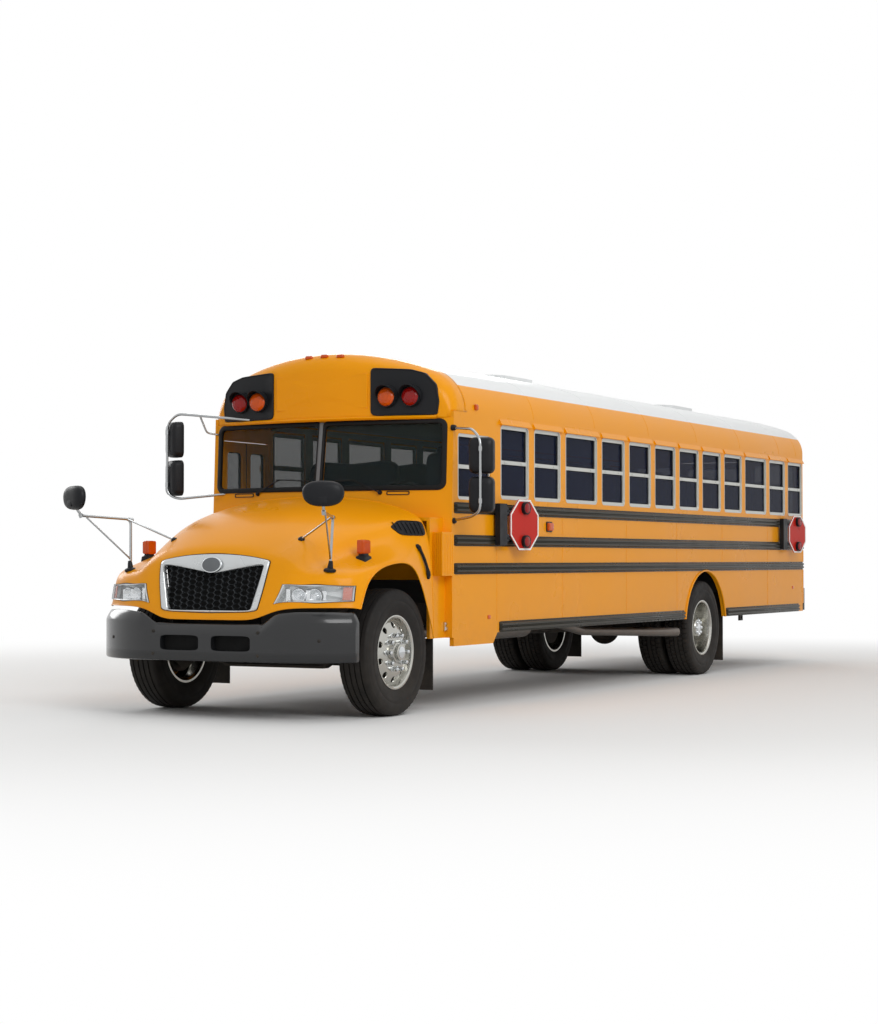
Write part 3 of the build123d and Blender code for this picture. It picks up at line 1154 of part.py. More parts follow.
# Section of a bench back and of the driver's backrest: x, z
BENCH_BACK = [(-110, 330), (10, 330), (-50, 1110), (-130, 1110)]
DRIVER_BACK = [(-1960, 1480), (-1850, 1480), (-1900, 2250), (-1990, 2250)]
benches = []
for row in range(SEAT_ROWS):
    x = -2350 - row * SEAT_PITCH
    for side in (-1, 1):
        y0, y1 = sorted((side * 185, side * (185 + BENCH_WIDTH)))
        y_leg0, y_leg1 = sorted((side * 260, side * 330))
        z = FLOOR_TOP_Z
        cushion = block(x - 100, x + 360, y0, y1, z + 330, z + 460)
        back = Pos(x, 0, z) * side_prism(polygon(BENCH_BACK, 20), y0, y1)
        bench = cushion + back
        bench += block(x - 40, x + 300, y_leg0, y_leg1, z, z + 335)
        benches.append(bench)
save("passenger_seats", *benches)
DRIVER_Y = 640.0
driver = block(-1950, -1480, DRIVER_Y - 240, DRIVER_Y + 240, FLOOR_TOP_Z + 380, FLOOR_TOP_Z + 500)
driver += side_prism(polygon(DRIVER_BACK, 20), DRIVER_Y - 230, DRIVER_Y + 230)
driver += block(-1880, -1560, DRIVER_Y - 150, DRIVER_Y + 150, FLOOR_TOP_Z, FLOOR_TOP_Z + 385)
save("driver_seat", driver)
COLUMN_TILT = 60.0
COLUMN = (-1180.0, DRIVER_Y, 1830.0)
column_up = Vector(-math.cos(math.radians(COLUMN_TILT)), 0, math.sin(math.radians(COLUMN_TILT)))
column_plane = Plane(origin=COLUMN, x_dir=(0, 1, 0), z_dir=column_up)
dash = block(-1130, -915, -450, COWL_HALF_WIDTH - 40, 1480, 1760)
dash += block(-950, BODY_FRONT, -450, COWL_HALF_WIDTH - 40, 1480, 1590)
column = extrude(column_plane * Pos(0, 0, -300) * Circle(32), amount=250, dir=column_up)
dash += column
dash -= extrude(column_plane * Pos(0, 0, -120) * Circle(15 + FIT), amount=200, dir=column_up)
save("dashboard", dash)
wheel = column_plane * (Torus(225, 16) + extrude(Circle(45), amount=40, both=True))
for i in range(3):
    wheel += column_plane * Rot(0, 0, 120 * i + 90) * Pos(120, 0, 0) * Box(200, 30, 14)
wheel += extrude(column_plane * Pos(0, 0, -110) * Circle(15), amount=110, dir=column_up)
save("steering_wheel", wheel)
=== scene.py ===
import json
import math

import bmesh
import bpy
import numpy as np
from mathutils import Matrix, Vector


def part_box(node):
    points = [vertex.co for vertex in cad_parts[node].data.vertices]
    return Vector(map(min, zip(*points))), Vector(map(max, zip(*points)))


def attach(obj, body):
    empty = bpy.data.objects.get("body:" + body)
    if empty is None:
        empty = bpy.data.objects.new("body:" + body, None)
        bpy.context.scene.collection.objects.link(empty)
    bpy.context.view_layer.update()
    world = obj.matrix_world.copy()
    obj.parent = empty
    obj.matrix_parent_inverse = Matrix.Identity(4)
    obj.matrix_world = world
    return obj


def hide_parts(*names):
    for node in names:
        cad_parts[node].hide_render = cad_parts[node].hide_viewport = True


bl_info = {
    "name": "School bus",
    "version": (1, 0, 0),
    "blender": (4, 5, 0),
    "location": "View3D > Sidebar > School bus",
    "description": "Skins, trims and finishes of a school bus, built around its packed frame",
    "category": "Add Mesh",
}

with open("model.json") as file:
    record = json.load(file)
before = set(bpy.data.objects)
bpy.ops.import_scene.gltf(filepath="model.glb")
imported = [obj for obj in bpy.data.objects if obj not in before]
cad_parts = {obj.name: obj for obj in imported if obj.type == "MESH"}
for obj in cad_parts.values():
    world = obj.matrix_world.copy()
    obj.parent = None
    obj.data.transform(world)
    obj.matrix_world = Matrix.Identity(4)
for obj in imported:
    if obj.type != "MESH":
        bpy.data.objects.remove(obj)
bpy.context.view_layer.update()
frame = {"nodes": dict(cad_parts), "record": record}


def middle(node):
    low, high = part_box(node)
    return (low + high) / 2


# All tables are in metres, x forward from the front axle, y to the left, z up from the ground.
AXLE_X = middle("front_axle").x
REAR_X = middle("left_rear_wheels").x - AXLE_X
HALF = 1.219
WHEEL_Z = 0.52
TAU = 2 * math.pi


def linear(code):
    """Linear colour of an sRGB hex code: the sRGB curve undone on each channel."""
    v = np.array([int(code[i:i + 2], 16) for i in (1, 3, 5)]) / 255
    return np.where(v <= 0.04045, v / 12.92, ((v + 0.055) / 1.055) ** 2.4).tolist()


def length(label, text, default):
    return bpy.props.FloatProperty(name=label, description=text, default=default, min=0.0005, unit="LENGTH")


def tint(label, text, code):
    return bpy.props.FloatVectorProperty(name=label, description=text, default=linear(code), subtype="COLOR",
                                         min=0.0, max=1.0)


class BusSizes(bpy.types.PropertyGroup):
    """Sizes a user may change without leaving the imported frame"""
    skin: length("Panel thickness", "Thickness of the bonnet and cap skins", 0.006)
    tread: length("Tread depth", "Depth of the grooves in the tyre tread", 0.014)
    mesh_width: length("Grille cell width", "Width of one cell of the grille mesh", 0.084)
    mesh_height: length("Grille cell height", "Height of one cell of the grille mesh", 0.043)
    rivet: length("Rivet head radius", "Radius of the round rivet heads on the side panels", 0.006)
    rivet_pitch: length("Rivet pitch", "Distance between rivets along a rail", 0.1)
    gasket: length("Window gasket width", "Width of the rubber that holds a window pane", 0.007)
    roof_line: length("Roof colour line", "Height above ground where the white of the roof starts", 2.785)
    sign_border: length("Sign border width", "Width of the white edge of the stop signs", 0.016)


class BusColours(bpy.types.PropertyGroup):
    """Colours of the main finishes"""
    body: tint("Body", "Enamel of the body panels", "#f29d05")
    roof: tint("Roof", "Enamel of the roof above the colour line", "#eceeee")
    rails: tint("Rails", "Enamel of the rub rails", "#2c291f")
    sign: tint("Stop sign", "Face of the stop signs", "#c0261b")
    seats: tint("Seats", "Vinyl of the seats", "#2c3a4c")
    glass: tint("Side glass", "Tint of the side and rear windows", "#1a2138")
    floor: tint("Studio floor", "Floor under the bus", "#f4f4f3")


def grid(points, wrap_u=False, wrap_v=False, keep=None):
    """Quads between neighbours in points[u, v]; a wrapped direction joins its last row to its first."""
    nu, nv = points.shape[:2]
    u, v = np.meshgrid(np.arange(nu if wrap_u else nu - 1), np.arange(nv if wrap_v else nv - 1),
                       indexing="ij")
    u2, v2 = (u + 1) % nu, (v + 1) % nv
    quads = np.stack([u * nv + v, u2 * nv + v, u2 * nv + v2, u * nv + v2], -1)
    return points.reshape(-1, 3), (quads.reshape(-1, 4) if keep is None else quads[keep])


def join(patches):
    """Patches one after the other as one array of points and one of quads."""
    start = np.cumsum([0] + [len(p) for p, _ in patches[:-1]])
    return np.concatenate([p for p, _ in patches]), np.concatenate([q + s for (_, q),
                                                                    s in zip(patches, start)])


def copies(patch, offsets):
    """The same patch moved by each of the offsets, as one patch."""
    points, quads = patch
    offsets = np.asarray(offsets, float)
    moved = (points[None] + offsets[:, None]).reshape(-1, 3)
    return moved, (quads[None] + (np.arange(len(offsets)) * len(points))[:, None, None]).reshape(-1, 4)


def flipped(patch):
    """The patch on the other side of the bus: y changes sign, and each quad runs the other way."""
    points, quads = patch
    return points * (1, -1, 1), quads[:, ::-1]


def pair(patches):
    return patches + [flipped(p) for p in patches]


def loft(rings, first=True, last=True):
    """Closed outlines joined in order; an end that is shut shrinks to the middle of its outline."""
    rings = np.asarray(rings, float)
    if first:
        rings = np.concatenate([np.broadcast_to(rings[0].mean(0), (1,) + rings[0].shape), rings])
    if last:
        rings = np.concatenate([rings, np.broadcast_to(rings[-1].mean(0), (1,) + rings[-1].shape)])
    return grid(rings, wrap_v=True)


def sleeve(rings):
    """Closed outlines joined in order, open at both ends."""
    return loft(rings, first=False, last=False)


def cup(rings):
    """Closed outlines joined in order and shut at the last one."""
    return loft(rings, first=False)


def smooth_ring(values, passes):
    """Closed row of points averaged with their neighbours."""
    for _ in range(passes):
        values = (np.roll(values, 1, 0) + 2 * values + np.roll(values, -1, 0)) / 4
    return values


def densified(corners, n, passes):
    """Closed corner list with n points on each side, its corners rounded by averaging."""
    corners = np.asarray(corners, float)
    sides = zip(corners, np.roll(corners, -1, 0))
    return smooth_ring(np.concatenate([np.linspace(a, b, n, endpoint=False) for a, b in sides]), passes)


def unit(v):
    return v / np.linalg.norm(v, axis=-1, keepdims=True)


def tube(path, radius, sides=12):
    """A circle carried along a path and square to it, its sides in the plane where the path bends least."""
    path = np.asarray(path, float)
    along = unit(np.gradient(path, axis=0))
    across = np.linalg.svd(along)[2][-1]
    a = unit(np.cross(along, across))
    b = np.cross(along, a)
    t = np.linspace(0, TAU, sides, endpoint=False)[:, None]
    radius = np.broadcast_to(radius, (len(path),))[:, None, None]
    return loft(path[:, None] + radius * (np.cos(t) * a[:, None] + np.sin(t) * b[:, None]))


def bent(points, radius, n=7):
    """Straight runs through the points, with a parabola from radius before each corner to radius after it."""
    p = np.asarray(points, float)
    mid = p[1:-1]
    a = mid + radius * unit(p[:-2] - mid)
    b = mid + radius * unit(p[2:] - mid)
    t = np.linspace(0, 1, n)[None, :, None]
    curves = (1 - t) ** 2 * a[:, None] + 2 * t * (1 - t) * mid[:, None] + t ** 2 * b[:, None]
    return np.concatenate([p[:1], curves.reshape(-1, 3), p[-1:]])


def turned(profile, origin=(0, 0, 0), axis=(0, 1, 0), sides=48):
    """A profile of (radius, height) turned round an axis through the origin point."""
    profile = np.asarray(profile, float)
    axis = unit(np.asarray(axis, float))
    a = unit(np.cross(axis, (0.3, 0.2, 0.9)))
    b = np.cross(axis, a)
    t = np.linspace(0, TAU, sides, endpoint=False)[None, :, None]
    round_part = profile[:, :1, None] * (np.cos(t) * a + np.sin(t) * b)
    return grid(np.asarray(origin, float) + round_part + profile[:, 1:, None] * axis, wrap_v=True)


def rounded(width, height, radius, n=6):
    """Outline of a rectangle about the origin, with a quarter circle at each corner."""
    t = np.linspace(0, math.pi / 2, n)
    corner = np.stack([np.cos(t), np.sin(t)], 1) * radius
    turn = np.array([[0, -1], [1, 0]])
    out = []
    for k, (sx, sy) in enumerate(((1, 1), (-1, 1), (-1, -1), (1, -1))):
        out.append(corner @ np.linalg.matrix_power(turn, k).T
                   + (sx * (width / 2 - radius), sy * (height / 2 - radius)))
    return np.concatenate(out)


def plane_points(outline, origin, right, up):
    """Flat outline (a, b) placed at origin + a * right + b * up."""
    outline, origin, right, up = (np.asarray(v, float) for v in (outline, origin, right, up))
    return origin + outline[:, :1] * right + outline[:, 1:] * up


def slab(outline, origin, right, up, depth, edge=0.004):
    """A flat outline raised by depth along right x up, with its upper edge drawn in on a quarter circle."""
    outline = np.asarray(outline, float)
    out = np.cross(right, up)
    centre = outline.mean(0)
    size = np.abs(outline - centre).max()
    t = np.linspace(0, math.pi / 2, 4)
    levels = [(0.0, 0.0)] + [(edge * (1 - math.cos(a)), depth - edge + edge * math.sin(a)) for a in t]
    rings = [plane_points(centre + (outline - centre) * (1 - inset / size), origin, right, up) + h * out
             for inset, h in levels]
    return loft(rings)


def boxes(corners):
    """Boxes from rows of x0, x1, y0, y1, z0, z1."""
    c = np.asarray(corners, float).reshape(-1, 3, 2)
    pick = np.array([[0, 0, 0], [1, 0, 0], [1, 1, 0], [0, 1, 0], [0, 0, 1], [1, 0, 1], [1, 1, 1], [0, 1, 1]])
    points = np.stack([c[:, k][:, pick[:, k]] for k in range(3)], -1).reshape(-1, 3)
    quads = np.array([[3, 2, 1, 0], [4, 5, 6, 7], [0, 1, 5, 4], [1, 2, 6, 5], [2, 3, 7, 6], [3, 0, 4, 7]])
    return points, (quads[None] + 8 * np.arange(len(c))[:, None, None]).reshape(-1, 4)


def weights(t, count):
    """Uniform cubic B-spline weights of count points at parameters 0 to count - 1, ends mirrored."""
    t = np.asarray(t, float)
    i = np.minimum(t.astype(int), count - 2)
    f = t - i
    b = np.stack([(1 - f) ** 3, 3 * f ** 3 - 6 * f ** 2 + 4, -3 * f ** 3 + 3 * f ** 2 + 3 * f + 1, f ** 3],
                 1) / 6
    w = np.zeros((len(t), count + 2))
    rows = np.arange(len(t))
    for k in range(4):
        w[rows, i + k] += b[:, k]
    w[:, 1] += 2 * w[:, 0]
    w[:, 2] -= w[:, 0]
    w[:, -2] += 2 * w[:, -1]
    w[:, -3] -= w[:, -1]
    return w[:, 1:-1]


# Finishes by name: the material, and the slot of the pieces that wear it
FINISH = {}


def dress(obj, finish, body, replaces):
    """Gives a piece its finish and body, and hides the nodes it stands for; of a+b, a is outside and b
    inside.
    """
    names = finish.split("+")
    for name in names:
        obj.data.materials.append(FINISH[name][0])
    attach(obj, body)
    if replaces:
        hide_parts(*replaces)
    return obj


def placed(name, mesh, sharp, bevel, thick=0.0, inside=0):
    """Object of a mesh: smooth but for edges past the angle sharp, thickened inwards, its edges eased."""
    mesh.shade_smooth()
    mesh.set_sharp_from_angle(angle=math.radians(sharp))
    obj = bpy.data.objects.new(name, mesh)
    bpy.context.scene.collection.objects.link(obj)
    if thick:
        mod = obj.modifiers.new("thickness", "SOLIDIFY")
        mod.thickness = thick
        mod.offset = -1
        mod.material_offset = inside
        mod.material_offset_rim = 0
    if bevel:
        mod = obj.modifiers.new("edges", "BEVEL")
        mod.width = bevel
        mod.segments = 2
        mod.limit_method = "ANGLE"
        mod.angle_limit = math.radians(40)
        mod.harden_normals = True
    return obj


def piece(name, patches, finish, body="body", replaces=(), sharp=38.0, bevel=0.0, thick=0.0):
    """One mesh object from patches: doubles merged, faces turned outwards, edges past the angle sharp."""
    points, quads = join(patches)
    mesh = bpy.data.meshes.new(name)
    mesh.from_pydata((points + (AXLE_X, 0, 0)).tolist(), [], quads.tolist())
    bm = bmesh.new()
    bm.from_mesh(mesh)
    bmesh.ops.remove_doubles(bm, verts=bm.verts, dist=2e-5)
    bmesh.ops.recalc_face_normals(bm, faces=bm.faces)
    bm.to_mesh(mesh)
    bm.free()
    obj = placed(name, mesh, sharp, bevel, thick, 1 if "+" in finish else 0)
    return dress(obj, finish, body, replaces)


def polished(node, finish, body, bevel):
    """A CAD node's own shape with its triangles joined, flat faces made whole and edges eased."""
    mesh = frame["nodes"][node].data.copy()
    mesh.materials.clear()
    bm = bmesh.new()
    bm.from_mesh(mesh)
    bmesh.ops.remove_doubles(bm, verts=bm.verts, dist=1e-5)
    bmesh.ops.dissolve_limit(bm, angle_limit=math.radians(0.6), verts=bm.verts, edges=bm.edges)
    bm.to_mesh(mesh)
    bm.free()
    for attribute in ("custom_normal", "sharp_face"):
        if attribute in mesh.attributes:
            mesh.attributes.remove(mesh.attributes[attribute])
    return dress(placed(node + "_finish", mesh, 32, bevel), finish, body, (node,))


def node(tree, kind, inputs=None, **settings):
    """Adds a node, sets its settings, and sets or links its inputs."""
    new = tree.nodes.new(kind)
    for key, value in settings.items():
        setattr(new, key, value)
    for key, value in (inputs or {}).items():
        if isinstance(value, bpy.types.NodeSocket):
            tree.links.new(value, new.inputs[key])
        else:
            new.inputs[key].default_value = value
    return new


def rgba(colour, gain=1.0):
    return (*[min(1.0, c * gain) for c in colour[:3]], 1.0)


def surface(name, slot, colour, roughness, cloud=(500, 0.06), grain=(3.0, 0.02), smear=0.08, dust=None,
            two=None, **sockets):
    """A finish for a slot: colour that drifts over cloud[0] mm by the share cloud[1], a bump grain[0] mm wide
    and grain[1] mm high, roughness that drifts by smear. dust is (colour, height, share) laid on low parts,
    two a second colour and the height where it starts."""
    mat = bpy.data.materials.new(name)
    mat.use_nodes = True
    tree = mat.node_tree
    shader = tree.nodes["Principled BSDF"]
    place = node(tree, "ShaderNodeTexCoord").outputs["Object"]
    drift = node(tree, "ShaderNodeTexNoise",
                 {"Vector": place, "Scale": 1000 / cloud[0], "Detail": 4.0}).outputs["Fac"]
    base = node(tree, "ShaderNodeMix", {0: drift, 6: rgba(colour, 1 - cloud[1]),
                                        7: rgba(colour, 1 + cloud[1])},
                data_type="RGBA").outputs[2]
    height = node(tree, "ShaderNodeSeparateXYZ", {0: place}).outputs["Z"]
    if two:
        share = node(tree, "ShaderNodeMapRange",
                     {"Value": height, "From Min": two[1] - 0.002, "From Max": two[1] + 0.002})
        base = node(tree, "ShaderNodeMix", {0: share.outputs[0], 6: base, 7: rgba(two[0])},
                    data_type="RGBA").outputs[2]
    if dust:
        share = node(tree, "ShaderNodeMapRange",
                     {"Value": height, "From Min": dust[1], "From Max": 0.25, "To Max": dust[2]})
        specks = node(tree, "ShaderNodeTexNoise",
                      {"Vector": place, "Scale": 12.0, "Detail": 6.0}).outputs["Fac"]
        share = node(tree, "ShaderNodeMath", {0: share.outputs[0], 1: specks},
                     operation="MULTIPLY").outputs[0]
        base = node(tree, "ShaderNodeMix", {0: share, 6: base, 7: rgba(dust[0])}, data_type="RGBA").outputs[2]
    tree.links.new(base, shader.inputs["Base Color"])
    rough = node(tree, "ShaderNodeMapRange", {"Value": drift, "From Min": 0.3, "From Max": 0.7,
                                             "To Min": max(0.02, roughness - smear),
                                              "To Max": roughness + smear})
    tree.links.new(rough.outputs[0], shader.inputs["Roughness"])
    if grain[1]:
        fine = node(tree, "ShaderNodeTexNoise",
                    {"Vector": place, "Scale": 1000 / grain[0], "Detail": 3.0}).outputs["Fac"]
        bump = node(tree, "ShaderNodeBump", {"Height": fine, "Distance": grain[1] / 1000, "Strength": 1.0})
        tree.links.new(bump.outputs[0], shader.inputs["Normal"])
    shader.inputs["Specular IOR Level"].default_value = 0.18
    for key, value in sockets.items():
        shader.inputs[key.replace("_", " ")].default_value = value
    FINISH[name] = mat, slot


def make_finishes(colours, sizes):
    road = linear("#6d6255")
    # Baked enamel over primer: deep colour, clear gloss, orange peel 6 mm wide, road film near the ground.
    enamel = dict(grain=(6.0, 0.012), smear=0.05, Coat_Weight=0.1, Coat_Roughness=0.06,
                  Specular_IOR_Level=0.12)
    surface("yellow_enamel", "yellow_paint", colours.body, 0.3, cloud=(900, 0.03), dust=(road, 1.1, 0.25),
            **enamel)
    surface("roof_enamel", "white_paint", colours.body, 0.32, cloud=(900, 0.03),
            two=(colours.roof, sizes.roof_line), **enamel)
    surface("white_enamel", "white_paint", colours.roof, 0.35, cloud=(700, 0.03), **enamel)
    surface("black_enamel", "black_paint", colours.rails, 0.3, cloud=(300, 0.15), dust=(road, 0.7, 0.12),
            **enamel)
    # Gloss black powder coat of the bumper: near black, with a wet shine.
    surface("bumper_black", "black_paint", linear("#17181a"), 0.2, cloud=(300, 0.15), grain=(6.0, 0.012),
            smear=0.05, Coat_Weight=0.3,
            Coat_Roughness=0.08, Specular_IOR_Level=0.4)
    # Gloss moulding of the grille bars: catches light on each web.
    surface("grille_gloss", "black_plastic", linear("#2d3033"), 0.2, cloud=(60, 0.1), grain=(1.2, 0.02),
            Coat_Weight=0.4)
    # Coated steel boards inside: pale grey-green, even.
    surface("lining_enamel", "white_paint", linear("#c3c8bf"), 0.45, cloud=(300, 0.04), grain=(2.0, 0.03))
    surface("red_enamel", "red_paint", colours.sign, 0.3, cloud=(200, 0.05), **enamel)
    # Reflective sheet: tiny glass beads give a soft even white.
    surface("white_sheet", "white_paint", linear("#f1f1ec"), 0.45, cloud=(60, 0.02), grain=(0.8, 0.02))
    # Chassis black: thick brushed paint, road dust on it.
    surface("chassis_black", "chassis_paint", linear("#1d1d1e"), 0.55, cloud=(120, 0.3), grain=(5.0, 0.1),
            dust=(road, 1.1, 0.6))
    # Sand-cast iron: rough skin about 3 mm in grain.
    surface("cast_iron", "cast_iron", linear("#3a3836"), 0.7, cloud=(60, 0.25), grain=(3.0, 0.3),
            dust=(road, 1.1, 0.6), Metallic=0.5)
    surface("spring_steel", "spring_steel", linear("#4a4744"), 0.5, cloud=(80, 0.2), grain=(4.0, 0.15),
            Metallic=0.8)
    # Moulded ABS with a spark-eroded grain 1.2 mm wide.
    surface("black_plastic", "black_plastic", linear("#1b1c1f"), 0.42, cloud=(90, 0.12), grain=(1.2, 0.05))
    surface("grey_plastic", "silver_plastic", linear("#6d7073"), 0.4, cloud=(90, 0.08), grain=(1.2, 0.04))
    # Matt near-black: the inside face of the bonnet skin, and painted shade on the sheet behind the grille
    # and the beam behind the bumper's openings.
    surface("inner_composite", "black_plastic", linear("#161616"), 0.8, cloud=(120, 0.2), grain=(4.0, 0.3))
    # Painted plastic with metal flake: silver that shifts a little.
    surface("silver_paint", "silver_plastic", linear("#c9cccd"), 0.3, cloud=(250, 0.06), grain=(0.9, 0.01),
            Metallic=0.55, Coat_Weight=0.5)
    # Drawn and anodised aluminium: pale, fine die lines, soft shine.
    surface("anodised_aluminium", "bare_aluminium", linear("#c8c9c4"), 0.38, cloud=(150, 0.06),
            grain=(0.8, 0.02), Metallic=0.7)
    # Forged aluminium, machined and buffed: mirror with slight haze.
    surface("polished_aluminium", "bare_aluminium", linear("#b7b6b0"), 0.2, cloud=(80, 0.06),
            grain=(9.0, 0.02), smear=0.06, Metallic=1.0)
    # Drawn steel tube and plated parts: grey mirror for the tube, near white for chrome and silvered glass.
    surface("steel_tube", "bright_chrome", linear("#a9abac"), 0.2, cloud=(120, 0.1), grain=(6.0, 0.01),
            smear=0.06, Metallic=1.0)
    surface("chrome", "bright_chrome", linear("#cdd0d2"), 0.06, cloud=(120, 0.03), grain=(20.0, 0.01),
            smear=0.03, Metallic=1.0)
    surface("mirror_glass", "bright_chrome", linear("#d8dde0"), 0.03, cloud=(200, 0.02), grain=(50.0, 0.0),
            smear=0.01, Metallic=1.0)
    surface("exhaust_steel", "spring_steel", linear("#77706a"), 0.4, cloud=(70, 0.25), grain=(3.0, 0.06),
            Metallic=0.9)
    # Carbon-black rubber: dull, grey with dust, fine moulding texture.
    surface("tyre_rubber", "tyre_rubber", linear("#1c1b1b"), 0.66, cloud=(90, 0.2), grain=(1.5, 0.12),
            dust=(road, 1.2, 0.18))
    surface("flap_rubber", "flap_rubber", linear("#1c1c1d"), 0.7, cloud=(120, 0.2), grain=(2.5, 0.15),
            dust=(road, 0.9, 0.4))
    surface("seal_rubber", "flap_rubber", linear("#141415"), 0.6, cloud=(90, 0.2), grain=(1.5, 0.05))
    # Ribbed rubber flooring and coated plywood edge.
    surface("floor_rubber", "floor_lining", linear("#3a3b3c"), 0.65, cloud=(150, 0.15), grain=(8.0, 0.4))
    # Vinyl-coated cloth: pebbled leather grain 3 mm wide.
    surface("seat_vinyl", "seat_vinyl", colours.seats, 0.5, cloud=(160, 0.12), grain=(3.0, 0.35))
    # Acrylic lenses: coloured through, prisms inside scatter the light.
    lens = dict(smear=0.03, cloud=(40, 0.1), grain=(7.0, 0.5), Coat_Weight=0.3, Coat_Roughness=0.05)
    surface("red_lens", "red_lens", linear("#8f0a08"), 0.2, **lens)
    surface("amber_lens", "lamp_lens", linear("#c9500a"), 0.2, **lens)
    surface("reflector", "bright_chrome", linear("#e4e6e8"), 0.1, cloud=(30, 0.08), grain=(12.0, 0.4),
            smear=0.05, Metallic=1.0)
    # Tempered glass, thin enough not to bend light: navy film on the body glass, faint green in the screen.
    # A pane has two faces, so what shows through it is the square of what one face lets by.
    glass = dict(cloud=(600, 0.04), grain=(300.0, 0.02), smear=0.0)
    surface("tinted_glass", "tinted_glass", colours.glass, 0.04, Specular_IOR_Level=0.03, Alpha=0.64, **glass)
    surface("screen_glass", "clear_glass", linear("#2b3634"), 0.03, Specular_IOR_Level=0.2, Alpha=0.2,
            **glass)
    surface("clear_lens", "lamp_lens", linear("#eef2f4"), 0.03, Specular_IOR_Level=0.5, Alpha=0.14, **glass)


# CAD nodes that keep their own shape: node, finish, eased edge in metres (0 leaves the node as it is)
KEPT = [
    ("chassis_frame", "chassis_black", 0.0), ("front_axle", "cast_iron", 0.0),
    ("rear_axle", "cast_iron", 0.003), ("leaf_springs", "spring_steel", 0.0),
    ("engine_block", "cast_iron", 0.02), ("driveshaft", "chassis_black", 0.003),
    ("radiator", "chassis_black", 0.0), ("fuel_tank", "chassis_black", 0.004),
    ("exhaust", "exhaust_steel", 0.002), ("rear_bumper", "bumper_black", 0.004),
    ("mud_flaps", "flap_rubber", 0.0), ("floor", "floor_rubber", 0.0),
    ("entrance_steps", "floor_rubber", 0.003), ("left_side_wall", "yellow_enamel", 0.0),
    ("right_side_wall", "yellow_enamel", 0.0), ("roof", "roof_enamel", 0.0),
    ("cowl", "yellow_enamel", 0.004), ("rear_wall", "yellow_enamel", 0.0),
    ("windscreen", "screen_glass", 0.0), ("side_window_frames", "anodised_aluminium", 0.0),
    ("window_glass", "tinted_glass", 0.0), ("stop_arm_housings", "black_plastic", 0.004),
    ("dashboard", "black_plastic", 0.02), ("steering_wheel", "black_plastic", 0.002),
    ("tie_rod", "chassis_black", 0.002), ("left_knuckle", "cast_iron", 0.003),
    ("right_knuckle", "cast_iron", 0.003), ("entrance_front_leaf", "yellow_enamel", 0.003),
    ("entrance_rear_leaf", "yellow_enamel", 0.003), ("entrance_front_glass", "tinted_glass", 0.0),
    ("entrance_rear_glass", "tinted_glass", 0.0), ("rear_door", "yellow_enamel", 0.003),
    ("rear_door_glass", "tinted_glass", 0.0), ("front_roof_hatch", "white_enamel", 0.006),
    ("rear_roof_hatch", "white_enamel", 0.006),
]


class BUS_OT_finishes(bpy.types.Operator):
    """Make the finishes and put them on the CAD nodes that keep their shape"""
    bl_idname = "bus.finishes"
    bl_label = "Finishes and plain parts"

    def execute(self, context):
        make_finishes(context.scene.bus_colours, context.scene.bus_sizes)
        body_of = {n: b for b, members in frame["record"]["behaviour"]["bodies"].items() for n in members}
        for name, finish, ease in KEPT:
            if ease:
                polished(name, finish, body_of[name], ease)
            else:
                data = frame["nodes"][name].data
                data.materials.clear()
                data.materials.append(FINISH[finish][0])
        return {"FINISHED"}


# Bonnet skin, from its lower front edge (first row) up the nose and back to the cowl (last row).
# Columns: centre, quarter, grille edge, ridge, flank foot, fender top, fender shoulder, side, wheel arch lip.
BONNET = np.array([
    [(1.030, 0, .800), (1.030, .28, .800), (1.024, .44, .802), (1.000, .585, .868), (.972, .72, .897),
     (.900, .92, .900), (.800, 1.085, .900), (.725, 1.178, .900), (.665, 1.203, .888)],
    [(1.024, 0, .832), (1.024, .28, .832), (1.018, .432, .834), (.990, .605, .922), (.962, .72, .925),
     (.890, .92, .925), (.795, 1.078, .927), (.720, 1.170, .930), (.640, 1.205, .950)],
    [(.985, 0, 1.06), (.985, .30, 1.06), (.978, .484, 1.06), (.940, .705, 1.080), (.912, .80, 1.080),
     (.850, .95, 1.080), (.770, 1.078, 1.080), (.700, 1.165, 1.078), (.570, 1.206, 1.085)],
    [(.930, 0, 1.345), (.928, .30, 1.335), (.925, .532, 1.282), (.905, .672, 1.250), (.880, .79, 1.170),
     (.825, .955, 1.150), (.745, 1.082, 1.146), (.655, 1.170, 1.143), (.480, 1.207, 1.155)],
    [(.805, 0, 1.425), (.803, .30, 1.412), (.797, .52, 1.372), (.785, .700, 1.323), (.775, .79, 1.210),
     (.750, .965, 1.198), (.670, 1.095, 1.186), (.545, 1.188, 1.190), (.330, 1.209, 1.220)],
    [(.550, 0, 1.560), (.548, .31, 1.548), (.545, .57, 1.500), (.530, .768, 1.430), (.520, .848, 1.285),
     (.500, .990, 1.268), (.420, 1.122, 1.252), (.300, 1.196, 1.252), (.100, 1.210, 1.252)],
    [(.200, 0, 1.685), (.200, .34, 1.674), (.198, .64, 1.622), (.185, .880, 1.530), (.175, .948, 1.393),
     (.150, 1.045, 1.360), (.090, 1.142, 1.320), (.000, 1.197, 1.290), (-.130, 1.210, 1.256)],
    [(-.150, 0, 1.760), (-.150, .36, 1.750), (-.152, .70, 1.697), (-.158, .968, 1.608), (-.165, 1.028, 1.496),
     (-.180, 1.085, 1.436), (-.205, 1.150, 1.362), (-.245, 1.193, 1.285), (-.310, 1.208, 1.130)],
    [(-.420, 0, 1.803), (-.420, .38, 1.793), (-.421, .74, 1.742), (-.423, 1.020, 1.640),
     (-.425, 1.082, 1.562), (-.427, 1.126, 1.472), (-.432, 1.164, 1.365), (-.445, 1.194, 1.160),
     (-.485, 1.206, .790)],
    [(-.545, 0, 1.815), (-.545, .39, 1.805), (-.545, .76, 1.756), (-.545, 1.045, 1.655),
     (-.545, 1.105, 1.582), (-.545, 1.142, 1.482), (-.545, 1.173, 1.360), (-.546, 1.196, 1.100),
     (-.552, 1.204, .615)],
])
CAGE = np.concatenate([BONNET[:, :0:-1] * (1, -1, 1), BONNET], axis=1)
MID = BONNET.shape[1] - 1


